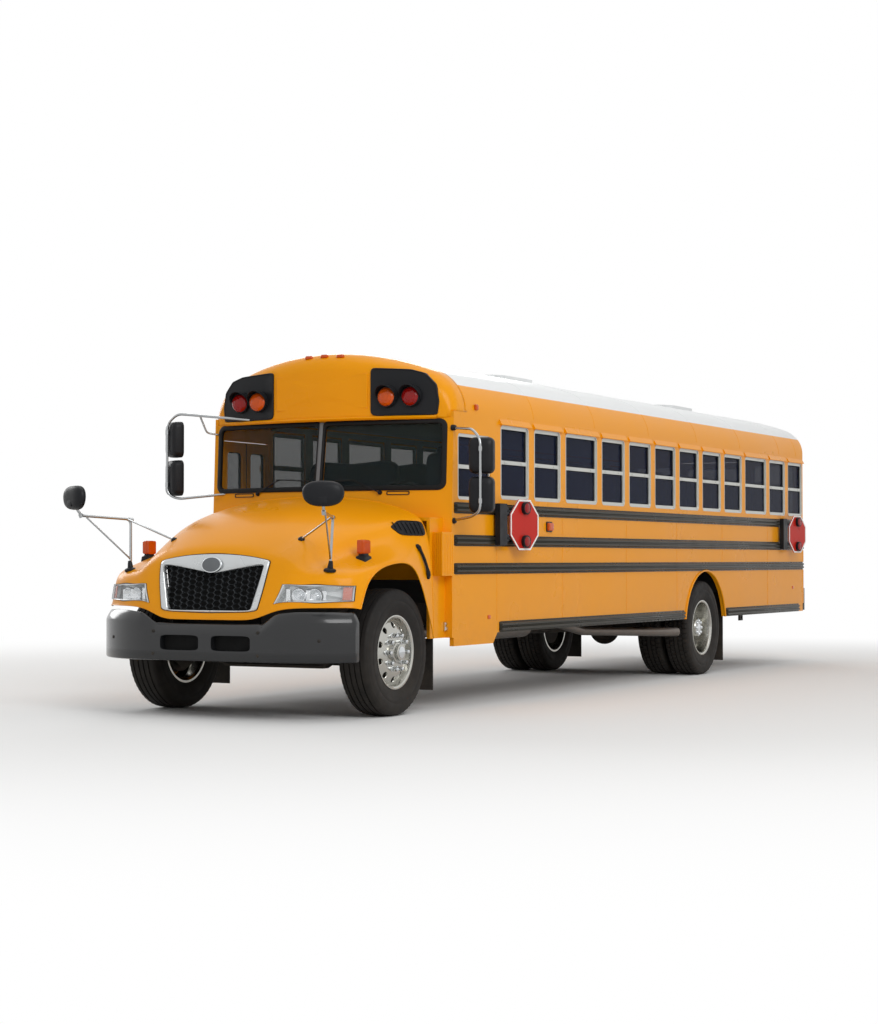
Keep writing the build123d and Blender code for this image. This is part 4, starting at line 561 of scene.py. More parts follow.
def bonnet(u, v):
    """Bonnet skin over pairs of u (rows) and v (columns from the centre): a cubic B-spline net."""
    wu, wv = weights(u, CAGE.shape[0]), weights(np.asarray(v) + MID, CAGE.shape[1])
    return np.einsum("ur,rck,vc->uvk", wu, CAGE, wv)


def bonnet_line(u, v):
    """Points of the bonnet skin along a line of parameters (u, v)."""
    u, v = np.broadcast_arrays(np.asarray(u, float), np.asarray(v, float))
    return np.einsum("nr,rck,nc->nk", weights(u, CAGE.shape[0]), CAGE, weights(v + MID, CAGE.shape[1]))


def bonnet_seat(targets):
    """For each target the nearest point of the bonnet skin and the outward direction there."""
    u, v = np.linspace(0, CAGE.shape[0] - 1, 181), np.linspace(-MID, MID, 321)
    net = bonnet(u, v)
    out = unit(np.cross(np.gradient(net, axis=0), np.gradient(net, axis=1)))
    out = np.where(((net - (0.2, 0, 0.9)) * out).sum(-1, keepdims=True) < 0, -out, out).reshape(-1, 3)
    net = net.reshape(-1, 3)
    found = [np.argmin(((net - t) ** 2).sum(1)) for t in np.asarray(targets, float)]
    return net[found], out[found]


FLANK_OUT = unit(np.array([.12, .9, .42]))


def flank(spots):
    """Points of the bonnet's left flank at rows of x and z: a mean of the nearest skin points."""
    net = bonnet(np.linspace(5, CAGE.shape[0] - 1, 161), np.linspace(3, MID, 161)).reshape(-1, 3)
    rows = []
    for x, z in spots:
        d = (net[:, 0] - x) ** 2 + (net[:, 2] - z) ** 2
        near = np.argpartition(d, 6)[:6]
        rows.append((x, np.average(net[near, 1], weights=1 / (d[near] + 1e-7)), z))
    return np.array(rows)


GRILLE_CELLS = (1, 3, 2)     # first row, last row, columns each side of the centre
LAMP_CELLS = (1, 2, 3, 7)    # first row, last row, first column, last column
STEPS = 12                   # points in one cell of the net


class BUS_OT_bonnet(bpy.types.Operator):
    """Bonnet skin with its arch lips, side vents, rubber latches and amber markers"""
    bl_idname = "bus.bonnet"
    bl_label = "Bonnet"

    def execute(self, context):
        rows, cols = CAGE.shape[0] - 1, CAGE.shape[1] - 1
        u, v = np.linspace(0, rows, rows * STEPS + 1), np.linspace(-MID, MID, cols * STEPS + 1)
        uc, vc = np.meshgrid((u[1:] + u[:-1]) / 2, np.abs((v[1:] + v[:-1]) / 2), indexing="ij")
        grille = (uc > GRILLE_CELLS[0]) & (uc < GRILLE_CELLS[1]) & (vc < GRILLE_CELLS[2])
        lamp = (uc > LAMP_CELLS[0]) & (uc < LAMP_CELLS[1]) & (vc > LAMP_CELLS[2]) & (vc < LAMP_CELLS[3])
        piece("bonnet_skin", [grid(bonnet(u, v), keep=~(grille | lamp))], "yellow_enamel+inner_composite",
              "hood", ("hood",), thick=context.scene.bus_sizes.skin, sharp=60)
        lips = [tube(bonnet_line(u, np.full(len(u), MID)), 0.006, 10),
                tube(bonnet_line(np.zeros(97), np.linspace(-MID, MID, 97)), 0.005, 8),
                tube(bonnet_line(np.full(97, rows), np.linspace(-MID, MID, 97)), 0.004, 8)]
        lips.append(flipped(lips[0]))
        piece("bonnet_edge_rolls", lips, "yellow_enamel", "hood")
        self.vents()
        self.latches()
        self.markers()
        return {"FINISHED"}

    def vents(self):
        """Black louvre panel in each flank: an outline laid on the skin, with slats across it."""
        corners = [(-.175, 1.545), (-.235, 1.478), (-.515, 1.475), (-.525, 1.592), (-.30, 1.598)]
        edge = densified(corners, 8, 3)
        middle_xz = edge.mean(0)
        rings = []
        for scale, lift in ((1.06, .001), (1.05, .008), (.97, .010), (.93, .005), (.6, .004), (.3, .004)):
            flat = middle_xz + (edge - middle_xz) * scale
            rings.append(flank(flat) + lift * FLANK_OUT)
        frame_ring = cup(rings)
        slats = []
        n = FLANK_OUT
        for x in np.arange(-.49, -.22, .045):
            foot = 1.49 if x < -.27 else 1.52
            path = flank(np.stack([np.full(5, x), np.linspace(foot, 1.585, 5)], 1)) + n * .004
            side = np.array([.017, 0, 0])
            ring = np.stack([path - side, path + side * .2 + n * .007, path + side * .4 + n * .005,
                             path - side * .6 - n * .004], 1)
            slats.append(loft(ring))
        piece("bonnet_vent_frames", pair([frame_ring]), "black_plastic", "hood")
        piece("bonnet_vent_slats", pair(slats), "black_plastic", "hood", bevel=0.001)

    def latches(self):
        """Rubber pull latch behind each arch: a waisted strap between two round ends."""
        ends, out = bonnet_seat([(-.365, 1.19, 1.40), (-.475, 1.2, 1.135)])
        n = unit(out.mean(0))
        along = unit(ends[1] - ends[0])
        across = np.cross(n, along)
        s = np.linspace(0, 1, 25)
        span = np.linalg.norm(ends[1] - ends[0])
        width = .016 + .012 * np.exp(-((s - .06) / .07) ** 2) + .016 * np.exp(-((s - .9) / .1) ** 2)
        a = np.linspace(0, TAU, 14, endpoint=False)
        rings = (ends[0] + s[:, None, None] * span * along
                 + (width[:, None] * np.cos(a))[..., None] * across
                 + (.014 + .010 * np.sin(a) + .012 * np.sin(math.pi * s)[:, None])[..., None] * n)
        feet = [turned([(0, .016), (.016, .016), (.02, .01), (.022, -.01)], e, n, 18) for e in ends]
        piece("bonnet_latches", pair([loft(rings)]), "seal_rubber", "hood")
        piece("bonnet_latch_feet", pair(feet), "black_plastic", "hood")

    def markers(self):
        """Amber marker lamp on each fender: a ribbed block on a black foot."""
        spot = bonnet_seat([(.374, 1.075, 1.33)])[0][0]
        right, up, n = np.array([-1.0, 0, 0]), np.array([0, 0, 1.0]), np.array([0, 1.0, 0])
        base = spot + (0, -.036, .09)
        foot = loft([plane_points(rounded(w, d, .012), spot + (0, -.004, z), (1, 0, 0), (0, 1, 0))
                     for w, d, z in ((.12, .10, -.03), (.11, .09, .012), (.08, .06, .022), (.07, .05, .05))])
        lens = [slab(rounded(.104, .112, .016), base, right, up, .068, .012),
                slab(rounded(.108, .116, .014), base + n * .026, right, up, .012, .004)]
        ribs = [slab(rounded(.004, .096, .0019, 4), base + n * .067 + right * x, right, up, .003, .001)
                for x in np.linspace(-.042, .042, 9)]
        piece("fender_marker_feet", pair([foot]), "black_plastic", "hood")
        piece("fender_marker_lenses", pair(lens + ribs), "amber_lens", "hood")


NOSE_LEAN = .1866
NOSE_OUT = unit(np.array([1.0, 0, NOSE_LEAN]))
# Opening for the mesh: half width and height at its foot and at its top corners, and the dip of its top edge
MESH_FOOT, MESH_LOW, MESH_TOP, MESH_HIGH, MESH_DIP = .392, .868, .487, 1.236, .072
BADGE_Z = 1.232


def nose_x(z):
    """The grille's leaning plane: x falls back as z rises."""
    return 1.03 - NOSE_LEAN * (z - .8)


class BUS_OT_grille(bpy.types.Operator):
    """Silver surround with its deep top bar, and the honeycomb behind it"""
    bl_idname = "bus.grille"
    bl_label = "Grille"

    def execute(self, context):
        r0, r1, c = GRILLE_CELLS
        net_line = densified([(r0, -c), (r0, c), (r1, c), (r1, -c)], 40, 0)
        outer = smooth_ring(bonnet_line(net_line[:, 0], net_line[:, 1]), 4)
        centre = outer.mean(0)
        corners = [(-MESH_FOOT, MESH_LOW), (MESH_FOOT, MESH_LOW), (MESH_TOP, MESH_HIGH),
                   (-MESH_TOP, MESH_HIGH)]
        inner = densified(corners, 40, 0)
        on_top = slice(80, 120)
        inner[on_top, 1] -= MESH_DIP * (1 - np.abs(inner[on_top, 0]) / MESH_TOP) ** 1.3
        inner = smooth_ring(inner, 5)
        inner = np.column_stack([nose_x(inner[:, 1]) - .012, inner])
        away = unit((outer - centre) * (0, 1, 1))
        mid = outer + (inner - outer) * .55
        rings = [outer + away * .012 - NOSE_OUT * .004, outer + away * .011 + NOSE_OUT * .006,
                 outer + away * .005 + NOSE_OUT * .013, mid + NOSE_OUT * .018,
                 inner + (outer - inner) * .12 + NOSE_OUT * .014, inner + NOSE_OUT * .006,
                 inner - NOSE_OUT * .03]
        piece("grille_frame", [sleeve(rings)], "silver_paint", "hood", ("grille_surround",), sharp=50)
        # Painted shadow: a black band on the skin just outside the surround, where its edge would cast a thin
        # shadow line.
        shadow_line = [outer + away * d + NOSE_OUT * h
                for d, h in ((.018, 0), (.017, .004), (.011, .004), (.01, -.004))]
        piece("grille_painted_shadow_line", [sleeve(shadow_line)], "seal_rubber", "hood")
        self.honeycomb(context.scene.bus_sizes, inner)
        t = np.linspace(0, TAU, 40, endpoint=False)
        oval = np.stack([.098 * np.cos(t), .066 * np.sin(t)], 1)
        place, up = np.array([nose_x(BADGE_Z) + .012, 0, BADGE_Z]), unit(np.array([-NOSE_LEAN, 0, 1.0]))
        piece("grille_badge_rim", [slab(oval, place, (0, 1, 0), up, .014, .006)], "chrome", "hood")
        piece("grille_badge_blank", [slab(oval * .88, place + NOSE_OUT * .008, (0, 1, 0), up, .010, .004)],
              "grey_plastic", "hood")
        return {"FINISHED"}

    def honeycomb(self, sizes, inner):
        """Flat-topped hexagon cells in offset columns, each a ring of six webs with depth; behind them a matt
        near-black sheet as painted shade.
        """
        w, h = sizes.mesh_width, sizes.mesh_height
        a, b = np.meshgrid(np.arange(-16, 17), np.arange(-2, 18), indexing="ij")
        y = (a * w * .75).ravel()
        z = (.86 + b * h + (a % 2) * h / 2).ravel()
        top = np.interp(np.abs(y), [0, MESH_TOP], [MESH_HIGH - MESH_DIP, MESH_HIGH]) + .012
        wide = np.interp(z, [.85, 1.25], [MESH_FOOT, MESH_TOP]) + .012
        keep = (z > .86) & (z < top) & (np.abs(y) < wide)
        y, z = y[keep], z[keep]
        t = np.arange(6) * TAU / 6
        hexagon = np.stack([np.cos(t) * w / 2, np.sin(t) * h / 2 / math.sin(TAU / 6)], 1)
        shrink = [1.0, 1.0, .88, .88]
        depth = [-.032, -.02, -.016, -.032]
        rings = np.stack([hexagon * k for k in shrink])
        flat = np.stack([y, z], 1)[:, None, None] + rings[None]
        points = np.concatenate([nose_x(flat[..., 1:]) + np.array(depth)[None, :, None, None], flat], -1)
        cell = grid(np.zeros((4, 6, 3)), wrap_v=True)[1]
        quads = (cell[None] + 24 * np.arange(len(y))[:, None, None]).reshape(-1, 4)
        piece("grille_honeycomb", [(points.reshape(-1, 3), quads)], "grille_gloss", "hood",
              ("grille_mesh",), sharp=30)
        # Painted shade: a matt near-black sheet behind the mesh stands for the dark depth behind the grille.
        back = np.column_stack([nose_x(inner[:, 2]) - .05, inner[:, 1:]])
        piece("grille_painted_shade", [loft([back + (-.004, 0, 0), back])], "inner_composite", "hood")


class BUS_OT_headlamps(bpy.types.Operator):
    """Headlamps: sunk bowls with two reflectors, an amber corner, a bezel and a clear lens"""
    bl_idname = "bus.headlamps"
    bl_label = "Headlamps"

    def execute(self, context):
        r0, r1, c0, c1 = LAMP_CELLS
        u, v = np.linspace(r0, r1, 13), np.linspace(c0, c1, 49)
        skin = bonnet(u, v)
        edge = np.concatenate([skin[0], skin[1:, -1], skin[-1, -2::-1], skin[-2:0:-1, 0]])
        centre = edge.mean(0)
        inward = np.array([-1.0, -.12, 0])
        away = unit((edge - centre) * (.3, 1, 1))
        bezel = [edge + away * .011 + (.001, 0, 0), edge + away * .009 + (.006, 0, 0),
                 edge - away * .001 + (.006, .002, 0), edge - away * .006 + (.002, 0, 0),
                 edge - away * .009 - (.014, .002, 0)]
        piece("headlamp_bezels", pair([sleeve(bezel)]), "silver_paint", "hood")
        gap = [edge + away * .016 + (-.001, 0, 0), edge + away * .015 + (.003, 0, 0),
               edge + away * .010 + (.003, 0, 0)]
        piece("headlamp_seams", pair([sleeve(gap)]), "seal_rubber", "hood")
        bowl = [edge - away * .006, edge - away * .008 + inward * .03,
                centre + (edge - centre) * .9 + inward * .06]
        piece("headlamp_bowls", pair([cup(bowl)]), "silver_paint", "hood")
        piece("headlamp_lenses", pair([grid(skin + (.0015, 0, 0))]), "clear_lens", "hood", ("headlamps",),
              thick=.003)
        chrome, dark = [], []
        aim = (1, .25, 0)
        for y, radius in ((.80, .052), (.945, .055)):
            at = bonnet_seat([(1.0, y, 1.003)])[0][0] + (-.052, 0, 0)
            t = np.linspace(0, 1, 9)
            bowl_profile = np.stack([radius * t, .034 * t ** 2 - .004], 1)
            profile = np.concatenate([bowl_profile, [(radius + .004, .03), (radius + .005, .012)]])
            chrome.append(turned(profile, at, aim, 32))
            chrome.append(turned([(0, .03), (.008, .028), (.011, .018), (.012, 0)], at, aim, 16))
            dark.append(turned([(radius + .005, .012), (radius + .011, .014), (radius + .011, 0),
                                (radius + .005, 0)], at, aim, 32))
        for y in (.70, .875, 1.03):
            at = bonnet_seat([(1.0, y, 1.003)])[0][0] + (-.05, 0, 0)
            chrome.append(slab(rounded(.035, .10, .008), at, (-.25, 1, 0), (0, 0, 1), .022))
        piece("headlamp_reflectors", pair(chrome), "reflector", "hood")
        piece("headlamp_rings", pair(dark), "black_plastic", "hood")
        corner = bonnet(np.linspace(r0 + .07, r1 - .07, 7),
                        np.linspace(c1 - .75, c1 - .08, 12)) - (.008, .004, 0)
        piece("headlamp_corners", pair([grid(corner)]), "amber_lens", "hood", thick=.004)
        return {"FINISHED"}


class BUS_OT_crossview(bpy.types.Operator):
    """Crossview mirrors on bright posts with two braces"""
    bl_idname = "bus.crossview"
    bl_label = "Crossview mirrors"

    def execute(self, context):
        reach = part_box("crossview_mirrors")[1].x - AXLE_X
        turn = math.radians(25)
        half_wide, half_tall = .160, .098
        head = np.array([reach - .042 * math.cos(turn) - .162 * math.sin(turn), 1.19, 1.78])
        front = np.array([math.cos(turn), math.sin(turn), 0])
        side = np.array([-math.sin(turn), math.cos(turn), 0])
        up = np.array([0, 0, 1.0])
        t = np.linspace(0, TAU, 40, endpoint=False)
        circle = np.stack([np.cos(t), np.sin(t)], 1)
        outline = np.sign(circle) * np.abs(circle) ** .75 * (half_wide, half_tall)
        outline[:, 0] *= 1 - .10 * (outline[:, 1] < 0) * (np.abs(outline[:, 1]) / half_tall)

        def bowl(levels):
            return cup([plane_points(outline * k, head + front * h, side, up) for k, h in levels])

        q = np.linspace(0, math.pi / 2, 8)[:-1]
        crown = [(math.cos(a) ** .6, -.008 + .048 * math.sin(a)) for a in q]
        shell = bowl([(1.0, -.026), (1.0, -.012)] + crown)
        glass = bowl([(.97, -.022)] + [(.95 * math.cos(a), -.022 - .018 * math.sin(a)) for a in q])
        rim = sleeve([plane_points(outline * k, head + front * h, side, up) for k, h in
                    ((1.0, -.026), (1.015, -.02), (1.015, -.03), (.96, -.032), (.96, -.022))])
        piece("crossview_shells", pair([shell, rim]), "black_plastic", "hood", ("crossview_mirrors",))
        piece("crossview_glass", pair([glass]), "mirror_glass", "hood")
        foot, out = bonnet_seat([(.742, .968, 1.2), (.60, .62, 1.43)])
        post_top = np.array([.720, .980, 1.61])
        joint = head + (-.06, -.03, -.145)
        arms = [tube(bent([foot[0], post_top, joint, head + (-.012, -.006, -.06)], .05), .0115, 14),
                tube([foot[1], post_top + (.03, .01, .002), joint + (-.02, -.005, -.004)], .0085),
                tube([foot[0] + (0, .003, .09), joint + (-.05, -.015, -.01)], .0075)]
        clamps = [turned([(0, -.02), (.018, -.02), (.018, .02), (0, .02)], post_top + (0, 0, -.004),
                         (.9, .3, .05), 16),
                  turned([(0, -.016), (.017, -.016), (.017, .016), (0, .016)], joint, (.4, .2, 1), 16)]
        plate = slab(rounded(.07, .05, .01), head + front * .028 - up * .05, side, up, .012)
        piece("crossview_arms", pair(arms), "steel_tube", "hood")
        piece("crossview_clamps", pair(clamps), "steel_tube", "hood")
        piece("crossview_head_plates", pair([plate]), "black_plastic", "hood")
        feet = [turned([(.05, -.012), (.05, .006), (.042, .012), (.024, .018), (.019, .055), (.015, .075),
                        (0, .075)], foot[0], (0, .12, 1), 28),
                turned([(.028, -.006), (.028, .006), (.02, .012), (.012, .02), (0, .02)],
                       foot[1], out[1], 20)]
        piece("crossview_feet", pair(feet), "black_plastic", "hood")
        return {"FINISHED"}


BOW_R = 4.109
CAP_X, CAP_FOOT = -.700, 2.49
ARCH_SHOULDER, ARCH_SPRING, ROOF_TOP = .390, 2.545, 3.082


def bow_x(y):
    """Plan curve of the front: a circle through the middle of the cap and the two body corners."""
    return CAP_X - BOW_R + np.sqrt(BOW_R ** 2 - np.asarray(y) ** 2)


def on_cap(flat, lift):
    """Flat outline (y, z) laid on the bowed face of the cap."""
    return np.column_stack([bow_x(flat[:, 0]) + lift, flat])


def arch(n):
    """Roof outline (y, z) from the right wall over the crown to the left: two shoulder arcs and a crown arc,
    with its inward direction."""
    sy = HALF - ARCH_SHOULDER
    rise = ROOF_TOP - ARCH_SPRING
    big = (sy ** 2 + rise ** 2 - ARCH_SHOULDER ** 2) / (2 * (rise - ARCH_SHOULDER))
    tangent = math.atan2(ARCH_SPRING - (ROOF_TOP - big), sy)
    a = np.linspace(0, tangent, n)
    b = np.linspace(tangent, math.pi / 2, n)[1:]
    y = np.concatenate([[HALF], sy + ARCH_SHOULDER * np.cos(a), big * np.cos(b)])
    z = np.concatenate([[CAP_FOOT], ARCH_SPRING + ARCH_SHOULDER * np.sin(a),
                        ROOF_TOP - big + big * np.sin(b)])
    angle = np.concatenate([[0], a, b])
    half = np.stack([y, z, -np.cos(angle), -np.sin(angle)], 1)
    return np.concatenate([half * (-1, 1, -1, 1), half[-2::-1]])


def cap_net():
    """Front cap: forward along the roof arch, round its edge on a quarter ellipse, down the bowed face."""
    line = arch(24)
    y, z, ny, nz = line.T
    radius = .060 + .105 * np.abs(nz)
    rows = [np.stack([np.full(len(y), x), y, z], 1) for x in (-1.13, -1.06)]
    for t in np.linspace(0, math.pi / 2, 11):
        inset = radius * (1 - np.cos(t))
        yy, zz = y + ny * inset, z + nz * inset
        x_face = bow_x(yy)
        rows.append(np.stack([x_face - radius * 1.15 * (1 - np.sin(t)), yy, zz], 1))
    rim = rows[-1]
    for t in np.linspace(0, 1, 14)[1:]:
        zz = rim[:, 2] + (CAP_FOOT - rim[:, 2]) * t
        rows.append(np.stack([bow_x(rim[:, 1]), rim[:, 1], zz], 1))
    net = np.stack(rows)
    net[..., 2] = np.where(net[..., 0] < -.884, np.maximum(net[..., 2], ARCH_SPRING + .001), net[..., 2])
    return net


LAMP_PANEL = np.array([(.495, 2.512), (1.085, 2.512), (1.10, 2.63), (1.075, 2.775), (.985, 2.872),
                       (.86, 2.908), (.495, 2.93)])
WARNING_LAMPS = [(.655, "amber_lens"), (.868, "red_lens")]
LAMP_Z, LAMP_R = 2.672, .084
SIGN_Z = 2.735


def lamp(origin, out, radius, depth):
    """Round lamp: lens with a crowned front and ring steps, and its bezel."""
    r = radius
    lens = turned([(r * .97, 0), (r * .97, depth * .55), (r * .9, depth * .75), (r * .72, depth * .9),
                   (r * .7, depth * .86), (r * .45, depth), (r * .43, depth * .96), (0, depth * 1.05)],
                  origin, out, 40)
    bezel = turned([(r * 1.08, 0), (r * 1.08, depth * .4), (r * 1.03, depth * .62), (r * .96, depth * .62),
                    (r * .95, depth * .1)], origin, out, 40)
    return lens, bezel


def lamp_hood(origin, radius, reach):
    """Visor over a lamp that faces forward: part of a tube, longest at the top."""
    t = np.linspace(math.radians(-15), math.radians(195), 40)
    far = reach * (.25 + .75 * np.clip(np.sin(t), 0, 1) ** .7)
    rows = []
    for r, along in ((radius * 1.10, 0), (radius * 1.12, 1), (radius * 1.07, 1), (radius * 1.05, 0)):
        ring = [origin[0] + far * along, origin[1] + r * np.cos(t), origin[2] + r * np.sin(t)]
        rows.append(np.stack(ring, 1))
    return grid(np.stack(rows))


class BUS_OT_front_cap(bpy.types.Operator):
    """Front cap with its black lamp panels, warning lamps, blank sign and clearance lamps"""
    bl_idname = "bus.front_cap"
    bl_label = "Front cap"

    def execute(self, context):
        net = cap_net()
        piece("front_cap_skin", [grid(net)], "yellow_enamel", "body", ("front_cap",), thick=.02, sharp=60)
        outline = densified(LAMP_PANEL, 20, 4)
        centre = outline.mean(0)
        rings = []
        for k, h in ((1.0, -.01), (1.0, .010), (.985, .014), (.95, .014), (.93, .010), (.7, .010),
                     (.45, .010), (.2, .010)):
            rings.append(on_cap(centre + (outline - centre) * k, h))
        piece("lamp_panels", pair([cup(rings)]), "black_plastic", "body", ("lamps",), sharp=30)
        hoods, bezels = [], []
        for y, finish in WARNING_LAMPS:
            at = np.array([bow_x(y) + .012, y, LAMP_Z])
            lens, bezel = lamp(at, (1, 0, 0), LAMP_R, .06)
            piece("warning_lenses_" + finish[:-5], pair([lens]), finish)
            bezels.append(bezel)
            hoods.append(lamp_hood(at, .088, .11))
        piece("warning_bezels", pair(bezels), "black_plastic")
        piece("warning_hoods", pair(hoods), "black_plastic")
        levels = ((1, 0), (1, .006), (.985, .008), (.97, .007), (.6, .007), (.3, .007))
        rings = [on_cap(rounded(.93, .30, .012) * k + (0, SIGN_Z), h) for k, h in levels]
        piece("sign_panel", [cup(rings)], "yellow_enamel", sharp=25)
        y = np.linspace(-1.08, 1.08, 61)
        ledge = [np.column_stack([bow_x(y) + d, y, np.full(61, z)])
                 for d, z in ((-.004, 2.512), (.014, 2.508), (.02, 2.497), (.014, 2.485), (-.004, 2.478))]
        piece("cap_ledge", [grid(np.stack(ledge))], "yellow_enamel", sharp=50)
        line = net.reshape(-1, 3)
        marks = []
        for y in (-.96, -.16, 0, .16, .96):
            near = line[np.argmin(((line - (-.80, y, 3.03 - .12 * (abs(y) > .5))) ** 2).sum(1))]
            lens = slab(rounded(.075, .03, .012), near + (0, y - near[1], -.002), (0, 1, 0), (-.55, 0, .83),
                        .022, .01)
            marks.append(lens)
        piece("front_clearance_lamps", marks, "amber_lens")
        return {"FINISHED"}


def screen_x(y, z):
    """Front of the screen wall: two plan bows, at the cowl and at the cap, joined by straight lines."""
    k = (np.asarray(z) - 1.4) / (CAP_FOOT - 1.4)
    y = np.asarray(y)

    def bow(middle_x, side_x):
        s = middle_x - side_x
        r = (HALF ** 2 + s ** 2) / (2 * s)
        return middle_x - r + np.sqrt(r ** 2 - y ** 2)

    return (1 - k) * bow(-.600, -.840) + k * bow(-.745, -.884)


def on_screen(flat, lift):
    return np.column_stack([screen_x(flat[:, 0], flat[:, 1]) + lift, flat])


class BUS_OT_windscreen(bpy.types.Operator):
    """Rubber round the two panes, centre post, wipers and cowl vents"""
    bl_idname = "bus.windscreen"
    bl_label = "Windscreen"

    def execute(self, context):
        centre = np.array([.581, 2.175])
        frame_rings = []
        # Width, height and corner radius of the rubber's outlines, and their height above the screen
        for w, h, r, lift in ((1.175, .615, .07, 0), (1.172, .612, .07, .010), (1.15, .59, .06, .016),
                              (1.105, .545, .045, .016), (1.09, .53, .04, .010), (1.088, .528, .04, -.02)):
            outline = rounded(w, h, r, 9)
            long = np.linalg.norm(np.roll(outline, -1, 0) - outline, axis=1) > .1
            dense = [np.linspace(a, b, 12 if big else 2, endpoint=False)
                     for a, b, big in zip(outline, np.roll(outline, -1, 0), long)]
            frame_rings.append(on_screen(np.concatenate(dense) + centre, lift))
        piece("screen_rubbers", pair([sleeve(frame_rings)]), "seal_rubber", sharp=35)
        z = np.linspace(1.885, 2.47, 12)
        post = [np.stack([screen_x(z * 0, z) + d, z * 0 + y, z], 1) for y, d in
                ((-.021, -.01), (-.021, .014), (-.012, .019), (.012, .019), (.021, .014), (.021, -.01))]
        piece("screen_post", [grid(np.stack(post))], "grey_plastic")
        arms, blades, caps = [], [], []
        for pivot, elbow, tip in (((-.65, 1.855), (-.41, 1.975), (-.03, 1.955)),
                                  ((.60, 1.85), (.356, 1.96), (-.02, 1.945))):
            flat = np.array([pivot, elbow, tip])
            seat = on_screen(flat, .028)
            seat[0, 0] = screen_x(*pivot) + .02
            arms.append(tube(bent([seat[0], seat[1], seat[1] + (seat[2] - seat[1]) * .45 + (.004, 0, .004)],
                                  .05), .0055, 10))
            t = np.linspace(-.06, 1.0, 22)[:, None]
            line = flat[1] + (flat[2] - flat[1]) * t
            for lift, radius in ((.031, .0045), (.020, .003)):
                blades.append(tube(on_screen(line, lift), radius, 8))
            caps.append(turned([(0, .024), (.012, .022), (.017, .012), (.02, -.02)],
                               on_screen(flat[:1], .005)[0], (1, 0, .15), 20))
        piece("wiper_arms", arms + caps, "black_plastic")
        piece("wiper_blades", blades, "seal_rubber")
        vents = []
        for y0, y1 in ((-.93, -.70), (.66, .86)):
            spot = ((y0 + y1) / 2, 1.846)
            flat = rounded(y1 - y0, .034, .012) + spot
            inner = (flat - spot) * (.95, .62) + spot
            vents.append(cup([on_screen(flat, -.004), on_screen(flat, .008), on_screen(inner, .008),
                              on_screen(inner, -.002)]))
        piece("cowl_vents", vents, "black_plastic", sharp=30)
        louvres = [(-.632, -.628, y, y + .011, 1.152, 1.494) for y in np.arange(1.158, 1.232, .018)]
        side = [(x, x + .016, 1.238, 1.242, 1.152, 1.494) for x in np.arange(-.835, -.66, .03)]
        bars = [(-.646, -.634, 1.148, 1.24, z, z + .012) for z in (1.14, 1.315, 1.494)]
        piece("cowl_louvres", pair([boxes(louvres + side + bars)]), "yellow_enamel", bevel=.0015)
        catch = [(-.865, -.825, 1.15, 1.168, .665, .745), (-.856, -.834, 1.165, 1.18, .675, .70),
                 (-.862, -.828, 1.168, 1.176, .72, .738)]
        piece("cowl_catches", pair([boxes(catch)]), "chrome", bevel=.003)
        return {"FINISHED"}


BUMPER_X, BUMPER_FOOT = 1.068, .465
# Tow eye opening of the left half: inner and outer y, lower and upper z
TOW_HOLE = (.06, .43, .55, .672)


def bumper_plan():
    """Half of the bumper's plan line from the middle to the left end: a straight, an arc through three
    points, a straight; with the inward direction."""
    p = np.array([(BUMPER_X, .56), (.973, .93), (.75, 1.205)])
    a = np.array([2 * (p[1] - p[0]), 2 * (p[2] - p[0])])
    centre = np.linalg.solve(a, [(p[1] ** 2).sum() - (p[0] ** 2).sum(),
                                 (p[2] ** 2).sum() - (p[0] ** 2).sum()])
    radius = np.linalg.norm(p[0] - centre)
    ang = np.arctan2(p[:, 1] - centre[1], p[:, 0] - centre[0])
    t = np.linspace(ang[0], ang[2], 24)
    arc = centre + radius * np.stack([np.cos(t), np.sin(t)], 1)
    flat_y = np.array([0, .03, .06, .12, .20, .28, .36, .43, .48, .50, .52, .54])
    flat = np.stack([np.full(len(flat_y), BUMPER_X), flat_y], 1)
    end = np.array([(.72, 1.205), (.69, 1.204)])
    line = np.concatenate([flat, arc, end])
    along = unit(np.gradient(line, axis=0))
    inward = np.stack([-along[:, 1], along[:, 0]], 1)
    return line, inward


